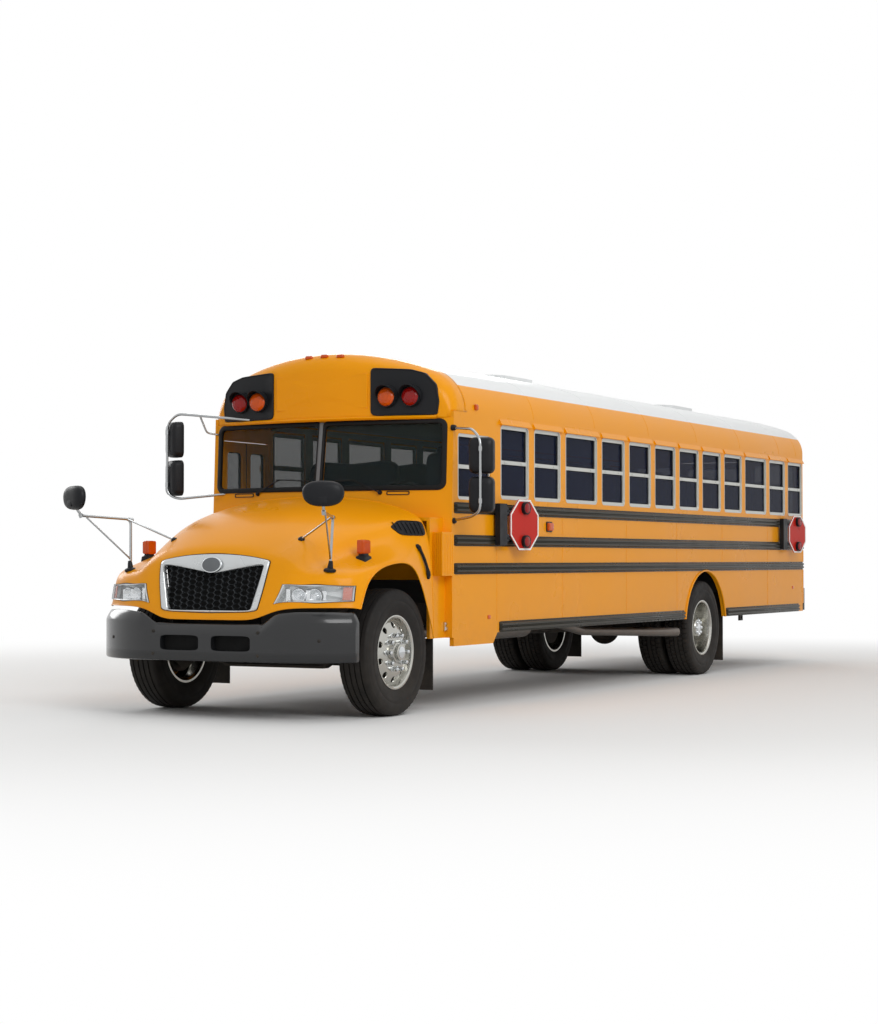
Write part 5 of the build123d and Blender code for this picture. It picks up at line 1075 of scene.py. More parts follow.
class BUS_OT_bumper(bpy.types.Operator):
    """Front bumper: a section carried round the plan line, notched for the nose, with two openings"""
    bl_idname = "bus.bumper"
    bl_label = "Front bumper"

    def execute(self, context):
        line, inward = bumper_plan()
        top = np.interp(line[:, 1], [0, .505, .64, .80, 2], [.768, .768, .846, .862, .862])
        low, knee = BUMPER_FOOT, top - .085
        y0, y1, z0, z1 = TOW_HOLE
        rows = [(.075, low + .002), (.02, low), (.006, low + .005), (0, low + .018), (0, z0), (0, .61),
                (0, z1)]
        levels = [np.column_stack([line + inward * d, np.full(len(line), z)]) for d, z in rows]
        flange = np.interp(line[:, 1], [0, .82, .9, 2], [.052, .052, .10, .10])[:, None]
        for d, k in ((0, 0), (.003, .14), (.012, .38), (.028, .70), (.043, .93), (.05, 1.0), (flange, 1.0),
                     (flange, .8)):
            levels.append(np.column_stack([line + inward * d, knee + (top - knee) * k]))
        net = np.stack(levels)
        yc = (line[1:, 1] + line[:-1, 1]) / 2
        hole = np.zeros((len(levels) - 1, len(line) - 1), bool)
        hole[4:6] = (yc > y0) & (yc < y1)
        skin = grid(net, keep=~hole)
        square = densified([(y1, z0), (y1, z1), (y0, z1), (y0, z0)], 12, 0)
        inner = smooth_ring(square, 5)
        centre = inner.mean(0)
        rings = [np.column_stack([np.full(len(f), x), f]) for f, x in
                 ((square, BUMPER_X), (inner, BUMPER_X), ((inner - centre) * (.985, .95) + centre, 1.062),
                  ((inner - centre) * (.98, .93) + centre, .99))]
        mouth = sleeve(rings)
        piece("front_bumper_skin", pair([skin, mouth]), "bumper_black", "body", ("front_bumper",), sharp=40)
        head = [(0, .010), (.009, .009), (.013, .005), (.015, -.002)]
        bolts = [turned(head, (1.066, .50, z), (1, 0, 0), 14) for z in (.52, .70)]
        at, n = line[-12], -inward[-12]
        bolts.append(turned([(0, .008), (.009, .007), (.013, .004), (.015, -.002)], (*at, .64), (*n, 0), 14))
        piece("bumper_bolts", pair(bolts), "chassis_black")
        # Beam behind the tow eye openings in matt near-black: partly the beam's own black, partly painted
        # shade so the openings read dark.
        beam = boxes([(.90, 1.0, -.50, .50, .50, .70), (.875, .99, .434, .49, .66, .76),
                      (.875, .99, -.49, -.434, .66, .76)])
        piece("bumper_beam", [beam], "inner_composite", bevel=.006)
        return {"FINISHED"}


TYRE_R = .52
# Half section of a tyre from the bead to the tread: half width, radius
SIDEWALL = [(.1115, .290), (.114, .305), (.121, .325), (.130, .350), (.1375, .385), (.1400, .410),
            (.1385, .414), (.1385, .420), (.1400, .424), (.1385, .455), (.1345, .478), (.1335, .481),
            (.1335, .487), (.1320, .490)]


def tyre(centre, depth, blocks):
    """Tyre: the section carried round the wheel, with grooves round it and, if blocks > 0, slots across."""
    around = 6 * blocks if blocks else 180
    across = np.array([-.112, -.108, -.1075, -.082, -.0815, -.070, -.0695, -.030, -.0295, -.018, -.0175,
                       .0175, .018, .0295, .030, .0695, .070, .0815, .082, .1075, .108, .112])
    half = np.array(SIDEWALL)
    groove = (np.abs(np.abs(across) - .0758) < .006) | (np.abs(np.abs(across) - .0238) < .006)
    crown = TYRE_R - .006 * (np.abs(across) / .112) ** 4
    section_w = np.concatenate([-half[:, 0], [-.124], across, [.124], half[::-1, 0]])
    section_r = np.concatenate([half[:, 1], [.506], crown - depth * groove, [.506], half[::-1, 1]])
    t = np.linspace(0, TAU, around, endpoint=False)
    r = np.broadcast_to(section_r[:, None], (len(section_r), around)).copy()
    if blocks:
        phase = np.arange(around) % 6
        shift = np.where(np.abs(section_w) > .07, 0, 3)
        in_slot = (phase[None] + shift[:, None]) % 6 < 1
        cut = in_slot & (section_r[:, None] > .50) & (np.abs(section_w)[:, None] > .02)
        r = np.where(cut, r - depth * .7, r)
    else:
        shoulder = (np.abs(section_w) > .1)[:, None] & (section_r > .5)[:, None]
        r = np.where(shoulder & (np.arange(around)[None] % 3 == 0), r - .003, r)
    points = np.stack([centre[0] + r * np.cos(t), np.broadcast_to(centre[1] + section_w[:, None], r.shape),
                       centre[2] + r * np.sin(t)], -1)
    inside = points[[0, -1]].copy()
    inside_r = .2865 / section_r[0]
    inside[..., 0] = centre[0] + (inside[..., 0] - centre[0]) * inside_r
    inside[..., 2] = centre[2] + (inside[..., 2] - centre[2]) * inside_r
    closed = np.concatenate([inside[:1], points, inside[1:]])
    return grid(closed, wrap_u=True, wrap_v=True)


def holed_band(profile, r0, r1, holes, hole_r, circle, centre, side):
    """A turned band between two radii with a ring of round holes: each sector is drawn in to a circle."""
    half = math.pi / holes
    outline = densified([(r1, -half), (r1, half), (r0, half), (r0, -half)], 10, 0)
    flat = np.stack([outline[:, 0] * np.cos(outline[:, 1]), outline[:, 0] * np.sin(outline[:, 1])], 1)
    spoke = np.arctan2(flat[:, 1], flat[:, 0] - circle)
    ring = np.stack([circle + hole_r * np.cos(spoke), hole_r * np.sin(spoke)], 1)
    lip = np.stack([circle + hole_r * .9 * np.cos(spoke), hole_r * .9 * np.sin(spoke)], 1)
    patches = []
    for k in range(holes):
        a = TAU * (k + .5) / holes
        rot = np.array([[math.cos(a), math.sin(a)], [-math.sin(a), math.cos(a)]])
        rows = []
        for plan, drop in ((flat, 0), (flat + (ring - flat) * .5, 0), (ring, 0), (lip, .004), (lip, .02)):
            p = plan @ rot
            y = np.interp(np.hypot(p[:, 0], p[:, 1]), profile[:, 0], profile[:, 1]) - drop
            rows.append(np.stack([centre[0] + p[:, 0], centre[1] + side * y, centre[2] + p[:, 1]], 1))
        patches.append(sleeve(np.stack(rows)))
    return patches


def nut(centre, angle, circle, y0, tall, side):
    """Wheel nut cover: a flanged cup with a domed end."""
    at = (centre[0] + circle * math.cos(angle), centre[1] + side * y0, centre[2] + circle * math.sin(angle))
    return turned([(.025, 0), (.025, .005), (.0185, .008), (.0175, tall - .008), (.0145, tall - .002),
                   (.008, tall), (0, tall)], at, (0, side, 0), 14)


# Wheel faces, from hub to flange: radius, height out from the wheel's middle
FRONT_FACE = np.array([(0, .172), (.054, .171), (.064, .166), (.067, .140), (.078, .136), (.086, .112),
                       (.120, .110), (.165, .109), (.184, .106), (.200, .101), (.222, .091), (.245, .079),
                       (.258, .068), (.266, .064), (.272, .085), (.280, .110), (.292, .119), (.303, .118),
                       (.3035, .112)])
REAR_FACE = np.array([(0, .236), (.078, .236), (.092, .232), (.099, .222), (.102, .060), (.110, .052),
                      (.118, .018), (.168, .017), (.186, .024), (.206, .040), (.222, .052), (.245, .070),
                      (.262, .084), (.270, .120), (.272, .250), (.280, .272), (.292, .279), (.303, .278),
                      (.3035, .272)])


# Wheels: face, foot and height of the nut covers, back, flange and step of the rim, back of the drum
WHEELS = {"front": (FRONT_FACE, .108, .056, -.118, .112, .108, -.06),
          "rear": (REAR_FACE, .016, .044, -.278, .272, .262, -.24)}
FRONT_Y, REAR_Y, TWIN_HALF = 1.03, .9, .16
# Hand holes: inner and outer radius of their band, count, radius, and radius of the circle they stand on
HOLE_BAND = (.196, .248, 10, .027, .222)
NUTS, NUT_CIRCLE = 10, .143
HUB_NUTS, HUB_CIRCLE = 8, .072


class BUS_OT_wheels(bpy.types.Operator):
    """Tyres with their tread, and polished wheels with hand holes, nut covers, hubs and drums"""
    bl_idname = "bus.wheels"
    bl_label = "Tyres and wheels"

    def execute(self, context):
        depth = context.scene.bus_sizes.tread
        for side, word in ((1, "left"), (-1, "right")):
            front = np.array([0, side * FRONT_Y, WHEEL_Z])
            rear = np.array([REAR_X, side * REAR_Y, WHEEL_Z])
            piece(word + "_front_tread_tyre", [tyre(front, depth, 0)], "tyre_rubber", word + "_front_wheel",
                  (word + "_front_tyre",), sharp=30)
            twins = [tyre(rear + (0, d, 0), depth, 60) for d in (-TWIN_HALF, TWIN_HALF)]
            piece(word + "_rear_tread_tyres", twins, "tyre_rubber", word + "_rear_wheel",
                  (word + "_rear_tyres",), sharp=30)
            self.wheel(word, "front", front, side)
            self.wheel(word, "rear", rear, side)
        return {"FINISHED"}

    def wheel(self, word, end, centre, side):
        """Rim with its hand holes, nut covers and the brake drum behind; the right side mirrors the left."""
        face, nut_foot, nut_tall, back, flange, step, drum_back = WHEELS[end]
        name, body = f"{word}_{end}_", f"{word}_{end}_wheel"
        near, far = HOLE_BAND[:2]
        inner = np.concatenate([face[face[:, 0] <= near], [(near, np.interp(near, face[:, 0], face[:, 1]))]])
        outer = np.concatenate([[(far, np.interp(far, face[:, 0], face[:, 1]))], face[face[:, 0] > far]])
        disc = [turned(p * (1, side), centre, sides=100) for p in (inner, outer)]
        disc += holed_band(face, *HOLE_BAND, centre, side)
        barrel = np.array([(.3035, flange), (.287, step), (.286, back + .014), (.3035, back + .008),
                           (.3035, back), (.285, back), (.268, back + .02), (.268, -.02)])
        disc.append(turned(barrel * (1, side), centre, sides=72))
        piece(name + "rim", disc, "polished_aluminium", body, (body + ("s" if end == "rear" else ""),),
              sharp=35)
        nuts = [nut(centre, TAU * k / NUTS, NUT_CIRCLE, nut_foot, nut_tall, side) for k in range(NUTS)]
        hub_y = face[0, 1]
        if end == "rear":
            nuts += [nut(centre, TAU * k / HUB_NUTS, HUB_CIRCLE, hub_y - .006, .022, side)
                     for k in range(HUB_NUTS)]
        cap = np.array([(.048, hub_y), (.048, hub_y + .004), (.040, hub_y + .0055), (0, hub_y + .006)])
        nuts.append(turned(cap * (1, side), centre, sides=32))
        piece(name + "nut_covers", nuts, "chrome", body, sharp=35)
        drum = np.array([(.06, drum_back), (.205, drum_back), (.205, .02), (.19, .03), (.07, .03)])
        piece(name + "drum", [turned(drum * (1, side), centre)], "cast_iron", body, sharp=30)


RAIL_MIDDLES = (1.718, 1.439, 1.197, .678)
BODY_FRONT, REAR_SPLIT = -.889, -10.375
# Section of a rub rail: distance out from the wall, height from its middle
RAIL_SECTION = np.array([(0, -.048), (.007, -.048), (.0075, -.035), (.020, -.031), (.024, -.027),
                         (.024, -.010), (.013, -.005), (.013, .005), (.024, .010), (.024, .027), (.020, .031),
                         (.0075, .035), (.007, .048), (0, .048)])


def rail_spans():
    """Each rub rail as side, middle height, front x and rear x."""
    rows = []
    for z in RAIL_MIDDLES[:3]:
        rows += [(1, z, BODY_FRONT, REAR_SPLIT), (-1, z, -1.77, REAR_SPLIT)]
    for front, rear in ((-1.757, REAR_X + .65), (REAR_X - .65, -10.21)):
        rows += [(1, RAIL_MIDDLES[3], front, rear), (-1, RAIL_MIDDLES[3], min(front, -1.89), rear)]
    return rows


def window_spans():
    """Rear and front x of each of the twelve windows of a side: wide third and tenth, the last trimmed."""
    pitch = np.array([.8636 if i in (3, 10) else .6985 for i in range(1, 13)])
    front = -1.793 - np.concatenate([[0], np.cumsum(pitch[:-1])])
    rear = front - pitch + .128
    rear[-1] += .04
    return list(zip(rear, front))


WINDOW_LOW, WINDOW_HIGH = 1.818, 2.469
DRIVER_WINDOW = (-1.596, -.960, 1.79, 2.36)
FRAME_WIDE, RAIL_HALF = .028, .017    # window frame, and half of its middle rail
LEFT = np.array([0, 1.0, 0])


def sashes(x0, x1, low, high):
    """Lower and upper pane of a window, inside its frame and below and above its middle rail."""
    mid = (low + high) / 2
    return [(x0, x1, low + FRAME_WIDE, mid - RAIL_HALF), (x0, x1, mid + RAIL_HALF, high - FRAME_WIDE)]


def on_wall(outline, x, z, depth, edge):
    """Flat outline raised from the left wall."""
    return slab(outline, (x, HALF, z), (-1, 0, 0), (0, 0, 1), depth, edge)


class BUS_OT_sides(bpy.types.Operator):
    """Grooved rub rails, rivets, panel seams, window rubbers, side lamps and reflectors"""
    bl_idname = "bus.sides"
    bl_label = "Body sides"

    def execute(self, context):
        sizes = context.scene.bus_sizes
        rails, rivets = [], []
        dome = turned([(sizes.rivet, 0), (sizes.rivet * .8, sizes.rivet * .35), (0, sizes.rivet * .5)],
                      (0, 0, 0), (0, 1, 0), 8)
        for side, z, front, rear in rail_spans():
            rings = [np.column_stack([np.full(len(RAIL_SECTION), x), side * (HALF + RAIL_SECTION[:, 0] * k),
                                      z + RAIL_SECTION[:, 1] * h])
                     for x, k, h in ((front, .3, .9), (front - .02, 1, 1), (rear + .02, 1, 1),
                                     (rear, .3, .9))]
            rails.append(loft(rings))
            x = np.arange(rear + .06, front - .03, sizes.rivet_pitch)
            for dz in (-.041, .041):
                spots = np.column_stack([x, np.full(len(x), HALF + .007), np.full(len(x), z + dz)])
                batch = copies(dome, spots)
                rivets.append(batch if side > 0 else flipped(batch))
        piece("grooved_rub_rails", rails, "black_enamel", "body", ("rub_rails",), sharp=28)
        piece("rail_rivets", rivets, "black_enamel", sharp=50)
        t = np.radians(np.linspace(10, 170, 61))
        arch_edge = np.stack([REAR_X + .632 * np.cos(t), np.full(61, HALF + .003),
                              WHEEL_Z + .632 * np.sin(t)], 1)
        piece("rear_arch_lips", pair([tube(arch_edge, .012, 12)]), "yellow_enamel")
        self.seams()
        self.rubbers(sizes)
        self.lamps()
        return {"FINISHED"}

    def seams(self):
        """Lap joints of the skirt sheets and of the panels between the rails, with rivets down each."""
        strips, rivets = [], []
        dome = turned([(.005, 0), (.004, .002), (0, .003)], (0, 0, 0), (0, 1, 0), 8)
        spans = window_spans()
        joints = [s[1] + .064 for s in spans[::2]] + [spans[-1][0] - .05]
        for x in joints:
            for z0, z1 in ((.73, 1.148), (1.246, 1.39), (1.488, 1.669)):
                if z0 < .8 and abs(x - REAR_X) < .62:
                    continue
                strips.append((x - .02, x + .02, HALF - .001, HALF + .0018, z0, z1))
                z = np.arange(z0 + .04, z1 - .02, .07)
                spots = np.column_stack([np.full(len(z), x), np.full(len(z), HALF + .0018), z])
                rivets.append(copies(dome, spots))
        for x in (s[1] + .064 for s in spans):
            z = np.arange(1.86, 2.45, .09)
            rivets.append(copies(dome, np.column_stack([np.full(len(z), x), np.full(len(z), HALF), z])))
        piece("panel_laps", pair([boxes(strips)]), "yellow_enamel")
        piece("panel_rivets", pair(rivets), "yellow_enamel", sharp=50)

    def rubbers(self, sizes):
        """Rubber between each pane and its frame, a bright trim round each frame, and the sash latches."""
        mid = (WINDOW_LOW + WINDOW_HIGH) / 2
        panes = [sash for x0, x1 in window_spans() for sash in sashes(x0, x1, WINDOW_LOW, WINDOW_HIGH)]
        both, left, trims = [], [], []
        for group, rows in ((both, panes), (left, sashes(*DRIVER_WINDOW))):
            for x0, x1, z0, z1 in rows:
                w, h = x1 - x0 - 2 * FRAME_WIDE, z1 - z0
                at = ((x0 + x1) / 2, HALF - .024, (z0 + z1) / 2)
                outer, inner = (plane_points(rounded(w - d, h - d, .012 - d / 4 if d < .03 else .008, 4), at,
                                             (-1, 0, 0), (0, 0, 1)) for d in (-.001, 2 * sizes.gasket))
                group.append(sleeve([outer + LEFT * .006, outer * .3 + inner * .7 + LEFT * .008,
                                     inner + LEFT * .001, inner - LEFT * .004]))
        for x0, x1 in window_spans():
            at = ((x0 + x1) / 2, HALF, mid)
            w, h = x1 - x0, WINDOW_HIGH - WINDOW_LOW
            outer, inner = (plane_points(rounded(w + d, h + d, .04 + d / 2, 6), at, (-1, 0, 0), (0, 0, 1))
                            for d in (.012, -.006))
            trims.append(sleeve([outer - LEFT * .001, outer + LEFT * .002, inner + LEFT * .002,
                                 inner - LEFT * .009]))
        piece("window_trims", pair(trims), "anodised_aluminium", sharp=40)
        piece("window_rubbers", pair(both) + left, "seal_rubber", sharp=40)
        latches = boxes([(x, x + .05, HALF - .010, HALF - .002, mid - .008, mid + .008)
                         for x0, x1 in window_spans() for x in (x0 + .09, x1 - .14)])
        piece("sash_latches", pair([latches]), "anodised_aluminium", bevel=.002)

    def lamps(self):
        """Side turn lamps on their bases, small marker lamps and reflectors."""
        turn_x, turn_z = -2.81, 1.58
        amber = [on_wall(rounded(.11, .075, .015), turn_x, turn_z, .03, .012),
                 on_wall(rounded(.05, .05, .012), -1.30, 2.60, .02, .01)]
        piece("side_turn_lamps", pair(amber), "amber_lens")
        piece("side_lamp_bases", pair([on_wall(rounded(.13, .095, .015), turn_x, turn_z, .008, .003)]),
              "black_plastic")
        # The first reflector is on the left side alone, the last on the right
        marks = [on_wall(rounded(.05, .034, .006), x, z, .006, .002)
                 for x, z in ((-1.553, .77), (-9.98, .93), (-2.05, .80))]
        piece("side_reflectors", marks[:2] + [flipped(p) for p in marks[1:]], "amber_lens")


# Side mirrors: side, arm x, top z, bottom z, upper root, lower root, angle the heads are turned out by
MIRRORS = [(1, -.787, 2.308, 1.667, (-.90, 1.189, 2.400), (-.90, 1.189, 1.605), 18),
           (-1, -.640, 2.520, 1.850, (-.775, .750, 2.518), (-.830, 1.048, 1.866), 32)]
MIRROR_OUT, MIRROR_WIDE = 1.53, .216
# Mirror head, as share of its outline and distance forward of its middle: shell, rim and glass
HEAD_SHELL = [(1.0, -.072), (1.0, -.045), (.985, -.015), (.94, .008), (.84, .022), (.6, .029), (.3, .030)]
HEAD_RIM = [(1.0, -.072), (.985, -.075), (.95, -.073), (.945, -.064)]
HEAD_GLASS = [(.95, -.066), (.95, -.060)]


class BUS_OT_side_mirrors(bpy.types.Operator):
    """Side mirrors: two black heads a side on a bright tube arm"""
    bl_idname = "bus.side_mirrors"
    bl_label = "Side mirrors"

    def execute(self, context):
        shells, glass, arms, feet = [], [], [], []
        for side, x, top, bottom, upper, lower, turn in MIRRORS:
            turn = math.radians(turn)
            front = np.array([math.cos(turn), math.sin(turn), 0])
            across = np.array([-math.sin(turn), math.cos(turn), 0])
            pole = np.array([x, MIRROR_OUT, 0]) + front * .044
            path = bent([upper, pole + (-.03, -.09, top + .07), pole + (0, 0, top - .02),
                         pole + (0, 0, bottom + .02), pole + (-.03, -.09, bottom - .03), lower], .055)
            made = [tube(path, .0115, 14)]
            if side < 0:
                made.append(tube(bent([(-.72, 1.28, 2.575), (-.79, 1.25, 2.42), (-.87, 1.18, 2.405)], .03),
                                 .009, 12))
            split = (top + bottom) / 2
            heads, panes = [], []
            for z0, z1 in ((bottom, split - .012), (split + .012, top)):
                at = np.array([x, MIRROR_OUT, (z0 + z1) / 2])
                outline = rounded(MIRROR_WIDE, z1 - z0, .05, 7)
                shell, rim, pane = ([plane_points(outline * k, at + front * d, across, (0, 0, 1))
                                     for k, d in levels]
                                    for levels in (HEAD_SHELL, HEAD_RIM, HEAD_GLASS))
                heads += [cup(shell), sleeve(rim)]
                panes.append(loft(pane))
            for z in (bottom + .1, top - .1):
                made.append(turned([(0, -.02), (.017, -.02), (.017, .02), (0, .02)], pole + (0, 0, z),
                                   (0, 0, 1), 14))
            # The left roots stand on the wall, the right ones on the front
            step, axis = ((.02, .035, 0), (0, 1, 0)) if side > 0 else ((0, 0, 0), (1, 0, 0))
            roots = [turned([(0, .02), (.02, .018), (.026, .004), (.026, -.02)], np.array(r) + step, axis, 18)
                     for r in (upper, lower)]
            for store, new in ((shells, heads), (glass, panes), (arms, made), (feet, roots)):
                store.extend(new if side > 0 else [flipped(p) for p in new])
        piece("side_mirror_heads", shells, "black_plastic", "body", ("side_mirrors",))
        piece("side_mirror_glass", glass, "mirror_glass")
        piece("side_mirror_arms", arms, "steel_tube")
        piece("side_mirror_roots", feet, "black_plastic")
        return {"FINISHED"}


# Stop arms: x of each hinge pin; its y and z, and the angle that the arms stand off the wall at rest
STOP_PINS = {"front_stop_arm": -1.80, "rear_stop_arm": -9.59}
PIN_Y, PIN_Z, STOP_AJAR = 1.282, 1.586, 8
SIGN_WIDTH, SIGN_EDGE, SIGN_LAMPS = .457, .2265, (-.15, .15)


class BUS_OT_stop_arms(bpy.types.Operator):
    """Blank stop signs: white edge and two lamps in black rims on each face"""
    bl_idname = "bus.stop_arms"
    bl_label = "Stop arms"

    def execute(self, context):
        border = context.scene.bus_sizes.sign_border
        turn = math.radians(-STOP_AJAR)
        right = np.array([math.cos(turn), math.sin(turn), 0])
        out = np.array([-math.sin(turn), math.cos(turn), 0])
        up = np.array([0, 0, 1.0])
        t = np.arange(8) * TAU / 8 + TAU / 16
        corner = np.stack([np.cos(t), np.sin(t)], 1) / math.cos(TAU / 16)
        for body, hinge_x in STOP_PINS.items():
            pin = np.array([hinge_x, PIN_Y, PIN_Z])
            origin = pin - right * (.04 + SIGN_WIDTH / 2)
            white, lenses, rims = [], [], []
            plate = loft([plane_points(corner * r, origin + out * h, right, up) for r, h in
                          ((.2270, -.005), (.2285, -.003), (.2285, .003), (.2270, .005))])
            arms = [turned([(.048, -.028), (.048, .028), (.03, .028), (.03, -.028), (.048, -.028)],
                           origin + up * z, out, 40)
                    for z in SIGN_LAMPS]
            for z in (-.119, .121):
                arms.append(slab(rounded(.07, .02, .004), pin - right * .048 + up * z - out * .006, right, up,
                                 .012, .002))
                arms.append(turned([(.0105, -.0095), (.0155, -.0095), (.0155, .0095), (.0105, .0095),
                                    (.0105, -.0095)], pin + up * z, (0, 0, 1), 24))
            for face in (1, -1):
                rings = [plane_points(corner * r, origin + out * face * h, right, up) for r, h in
                         ((SIGN_EDGE, .004), (SIGN_EDGE, .0065), (SIGN_EDGE - border, .0065),
                          (SIGN_EDGE - border, .004))]
                white.append(sleeve(rings))
                for z in SIGN_LAMPS:
                    at = origin + up * z + out * face * .026
                    lens, rim = lamp(at, out * face, .047, .018)
                    lenses.append(lens)
                    rims += [rim, turned([(.054, -.02), (.057, -.02), (.057, .01), (.05, .012)], at,
                                         out * face, 32)]
            piece(body + "_plate", [plate], "red_enamel", body, (body,), sharp=30)
            piece(body + "_hinges", arms, "black_plastic", body, sharp=30)
            piece(body + "_edges", white, "white_sheet", body, sharp=30)
            piece(body + "_lenses", lenses, "red_lens", body)
            piece(body + "_rims", rims, "black_plastic", body)
        return {"FINISHED"}


# Roof hatches: middle x of each, height of their crowns, half width of the opening left in the ceiling
HATCHES = {"front_roof_hatch": -4.06, "rear_roof_hatch": -8.595}
HATCH_TOP, HATCH_HALF = 3.12, .33


class BUS_OT_roof(bpy.types.Operator):
    """Roof joint bands, hatch seals and crowns, and the lining inside"""
    bl_idname = "bus.roof"
    bl_label = "Roof trims"

    def execute(self, context):
        line = arch(30)
        line = line[line[:, 1] > 2.56]
        bands = []
        for x in np.concatenate([[-1.13], np.arange(-2.49, -9.9, -1.397), [-10.13]]):
            rows = [np.column_stack([np.full(len(line), x + d), line[:, :2] - line[:, 2:] * h]) for d, h in
                    ((-.02, -.001), (-.018, .0025), (.018, .0025), (.02, -.001))]
            bands.append(grid(np.stack(rows)))
        piece("roof_joint_bands", bands, "roof_enamel", sharp=50)
        self.lining(line)
        for body, x in HATCHES.items():
            def square(w, r):
                return plane_points(rounded(w, w, r, 6), (x, 0, 0), (1, 0, 0), (0, 1, 0))

            seal = sleeve([square(w, .05) + (0, 0, z) for w, z in
                           ((.585, 3.058), (.585, 3.074), (.555, 3.074), (.555, 3.058))])
            plans = [(square(w, .04), h) for w, h in
                     ((.50, .001), (.49, .006), (.46, .007), (.30, .008), (.1, .008))]
            top = cup([np.column_stack([p[:, :2], HATCH_TOP + h - .42 * p[:, 1] ** 2]) for p, h in plans])
            piece(body + "_seal", [seal], "seal_rubber", body)
            piece(body + "_crown", [top], "white_enamel", body, sharp=30)
        return {"FINISHED"}

    def lining(self, line):
        """Boards between and below the windows, and a ceiling under the roof that leaves the hatches open."""
        spans = window_spans()
        y0, y1 = HALF - .047, HALF - .042
        rows = [(b[1] + .002, a[0] - .002, y0, y1, 1.80, 2.49) for a, b in zip(spans, spans[1:])]
        rows += [(-10.40, -1.76, y0, y1, 1.16, 1.80), (-10.40, -1.76, y0, y1, 2.49, 2.54)]
        x = [-1.14, *[middle_x + d for middle_x in HATCHES.values() for d in (HATCH_HALF, -HATCH_HALF)],
             -10.12]
        net = np.stack([np.column_stack([np.full(len(line), v), line[:, :2] + line[:, 2:] * .046])
                        for v in x])
        keep = np.ones((len(x) - 1, len(line) - 1), bool)
        keep[1::2] = np.abs((line[1:, 0] + line[:-1, 0]) / 2) > HATCH_HALF
        piece("inner_lining", pair([boxes(rows)]) + [grid(net, keep=keep)], "lining_enamel", sharp=50)


def frame_rubber(x, y, z, w, h, r, out, g=.02):
    """Rubber round a pane in an end wall (out along x) or a side leaf (out along y)."""
    right = (0, out[0], 0) if abs(out[0]) > .5 else (-out[1], 0, 0)
    outer, inner = (plane_points(rounded(w + d, h + d, r, 7), (x, y, z), right, (0, 0, 1)) for d in (g, -g))
    out = np.asarray(out, float)
    # Share of the way from the outer outline to the inner one, and height above the pane's face
    levels = ((0, 0), (0, .004), (.3, .009), (.8, .009), (1, .003), (1, -.016))
    return sleeve([outer * (1 - k) + inner * k + out * lift for k, lift in levels])


BODY_REAR = -10.45
# Rear lamps of the left half: y, z, finish
REAR_LAMPS = [(.69, 2.66, "amber_lens"), (.93, 2.66, "red_lens"), (.99, 1.02, "red_lens"),
              (.99, 1.23, "amber_lens"), (.99, 1.44, "red_lens")]
REAR_PANEL = np.array([(.58, 2.56), (1.04, 2.56), (1.04, 2.74), (.98, 2.78), (.58, 2.78)])
HANDLE_Y, HANDLE_Z = .34, 1.765


def on_rear(outline, x, y, z, depth, edge):
    """Flat outline raised backwards from the rear wall or its door."""
    return slab(outline, (x, y, z), (0, -1, 0), (0, 0, 1), depth, edge)


class BUS_OT_rear(bpy.types.Operator):
    """Rear lamps, window rubbers, emergency door handle, reflectors and a blank plate"""
    bl_idname = "bus.rear"
    bl_label = "Rear end"

    def execute(self, context):
        back = (-1.0, 0, 0)
        lenses = {"red_lens": [], "amber_lens": []}
        rims, hoods = [], []
        for y, z, colour in REAR_LAMPS:
            lens, rim = lamp((BODY_REAR - .002, y, z), back, LAMP_R, .03)
            lenses[colour].append(lens)
            rims.append(rim)
            if z > 2:
                points, quads = lamp_hood(np.array([0, y, z]), .086, .07)
                hoods.append((points * (-1, 1, 1) + (BODY_REAR, 0, 0), quads[:, ::-1]))
        for colour, group in lenses.items():
            piece("rear_lenses_" + colour[:-5], pair(group), colour)
        piece("rear_lamp_rims", pair(rims + hoods), "black_plastic")
        plate = on_rear(densified(REAR_PANEL, 8, 4) * (-1, 1), BODY_REAR, 0, 0, .004, .002)
        piece("rear_lamp_panels", pair([plate]), "black_plastic")
        rubbers = [frame_rubber(BODY_REAR, .82, (1.83 + WINDOW_HIGH) / 2, .52, WINDOW_HIGH - 1.83, .06, back)]
        piece("rear_window_rubbers", pair(rubbers), "seal_rubber")
        door = [frame_rubber(BODY_REAR + .002, 0, (z0 + z1) / 2, .69, z1 - z0, .05, back)
                for z0, z1 in ((1.18, 1.70), (1.83, 2.44))]
        piece("rear_door_rubbers", door, "seal_rubber", "rear_door")
        path = [(BODY_REAR - d, y, HANDLE_Z)
                for d, y in ((0, HANDLE_Y), (.04, HANDLE_Y), (.04, .20), (.012, .20))]
        handle = [tube(bent(path, .02), .009, 12),
                  on_rear(rounded(.10, .09, .015), BODY_REAR + .002, HANDLE_Y, HANDLE_Z, .008, .003)]
        piece("rear_door_handle", handle, "steel_tube", "rear_door")
        plate = on_rear(rounded(.32, .17, .01), BODY_REAR, -.64, 1.03, .006, .003)
        piece("blank_plate", [plate], "white_sheet")
        marks = [slab(rounded(.07, .03, .012), (BODY_REAR + .155, y, 2.99 - .10 * (abs(y) > .5)), (0, -1, 0),
                      (.55, 0, .83), .03, .01) for y in (-.9, -.16, 0, .16, .9)]
        piece("rear_clearance_lamps", marks, "red_lens")
        disc = [(.038, 0), (.038, .006), (.032, .009), (0, .01)]
        round_marks = [turned(disc, (BODY_REAR, y, .985), back, 24) for y in (.80, -.84)]
        piece("rear_reflectors", round_marks, "red_lens")
        return {"FINISHED"}


# Doorway: rear and front x, foot and head of its leaves, and half of the gap between them
DOOR_REAR, DOOR_FRONT, DOOR_LOW, DOOR_HIGH, LEAF_GAP = -1.72, -.96, .456, 2.354, .008


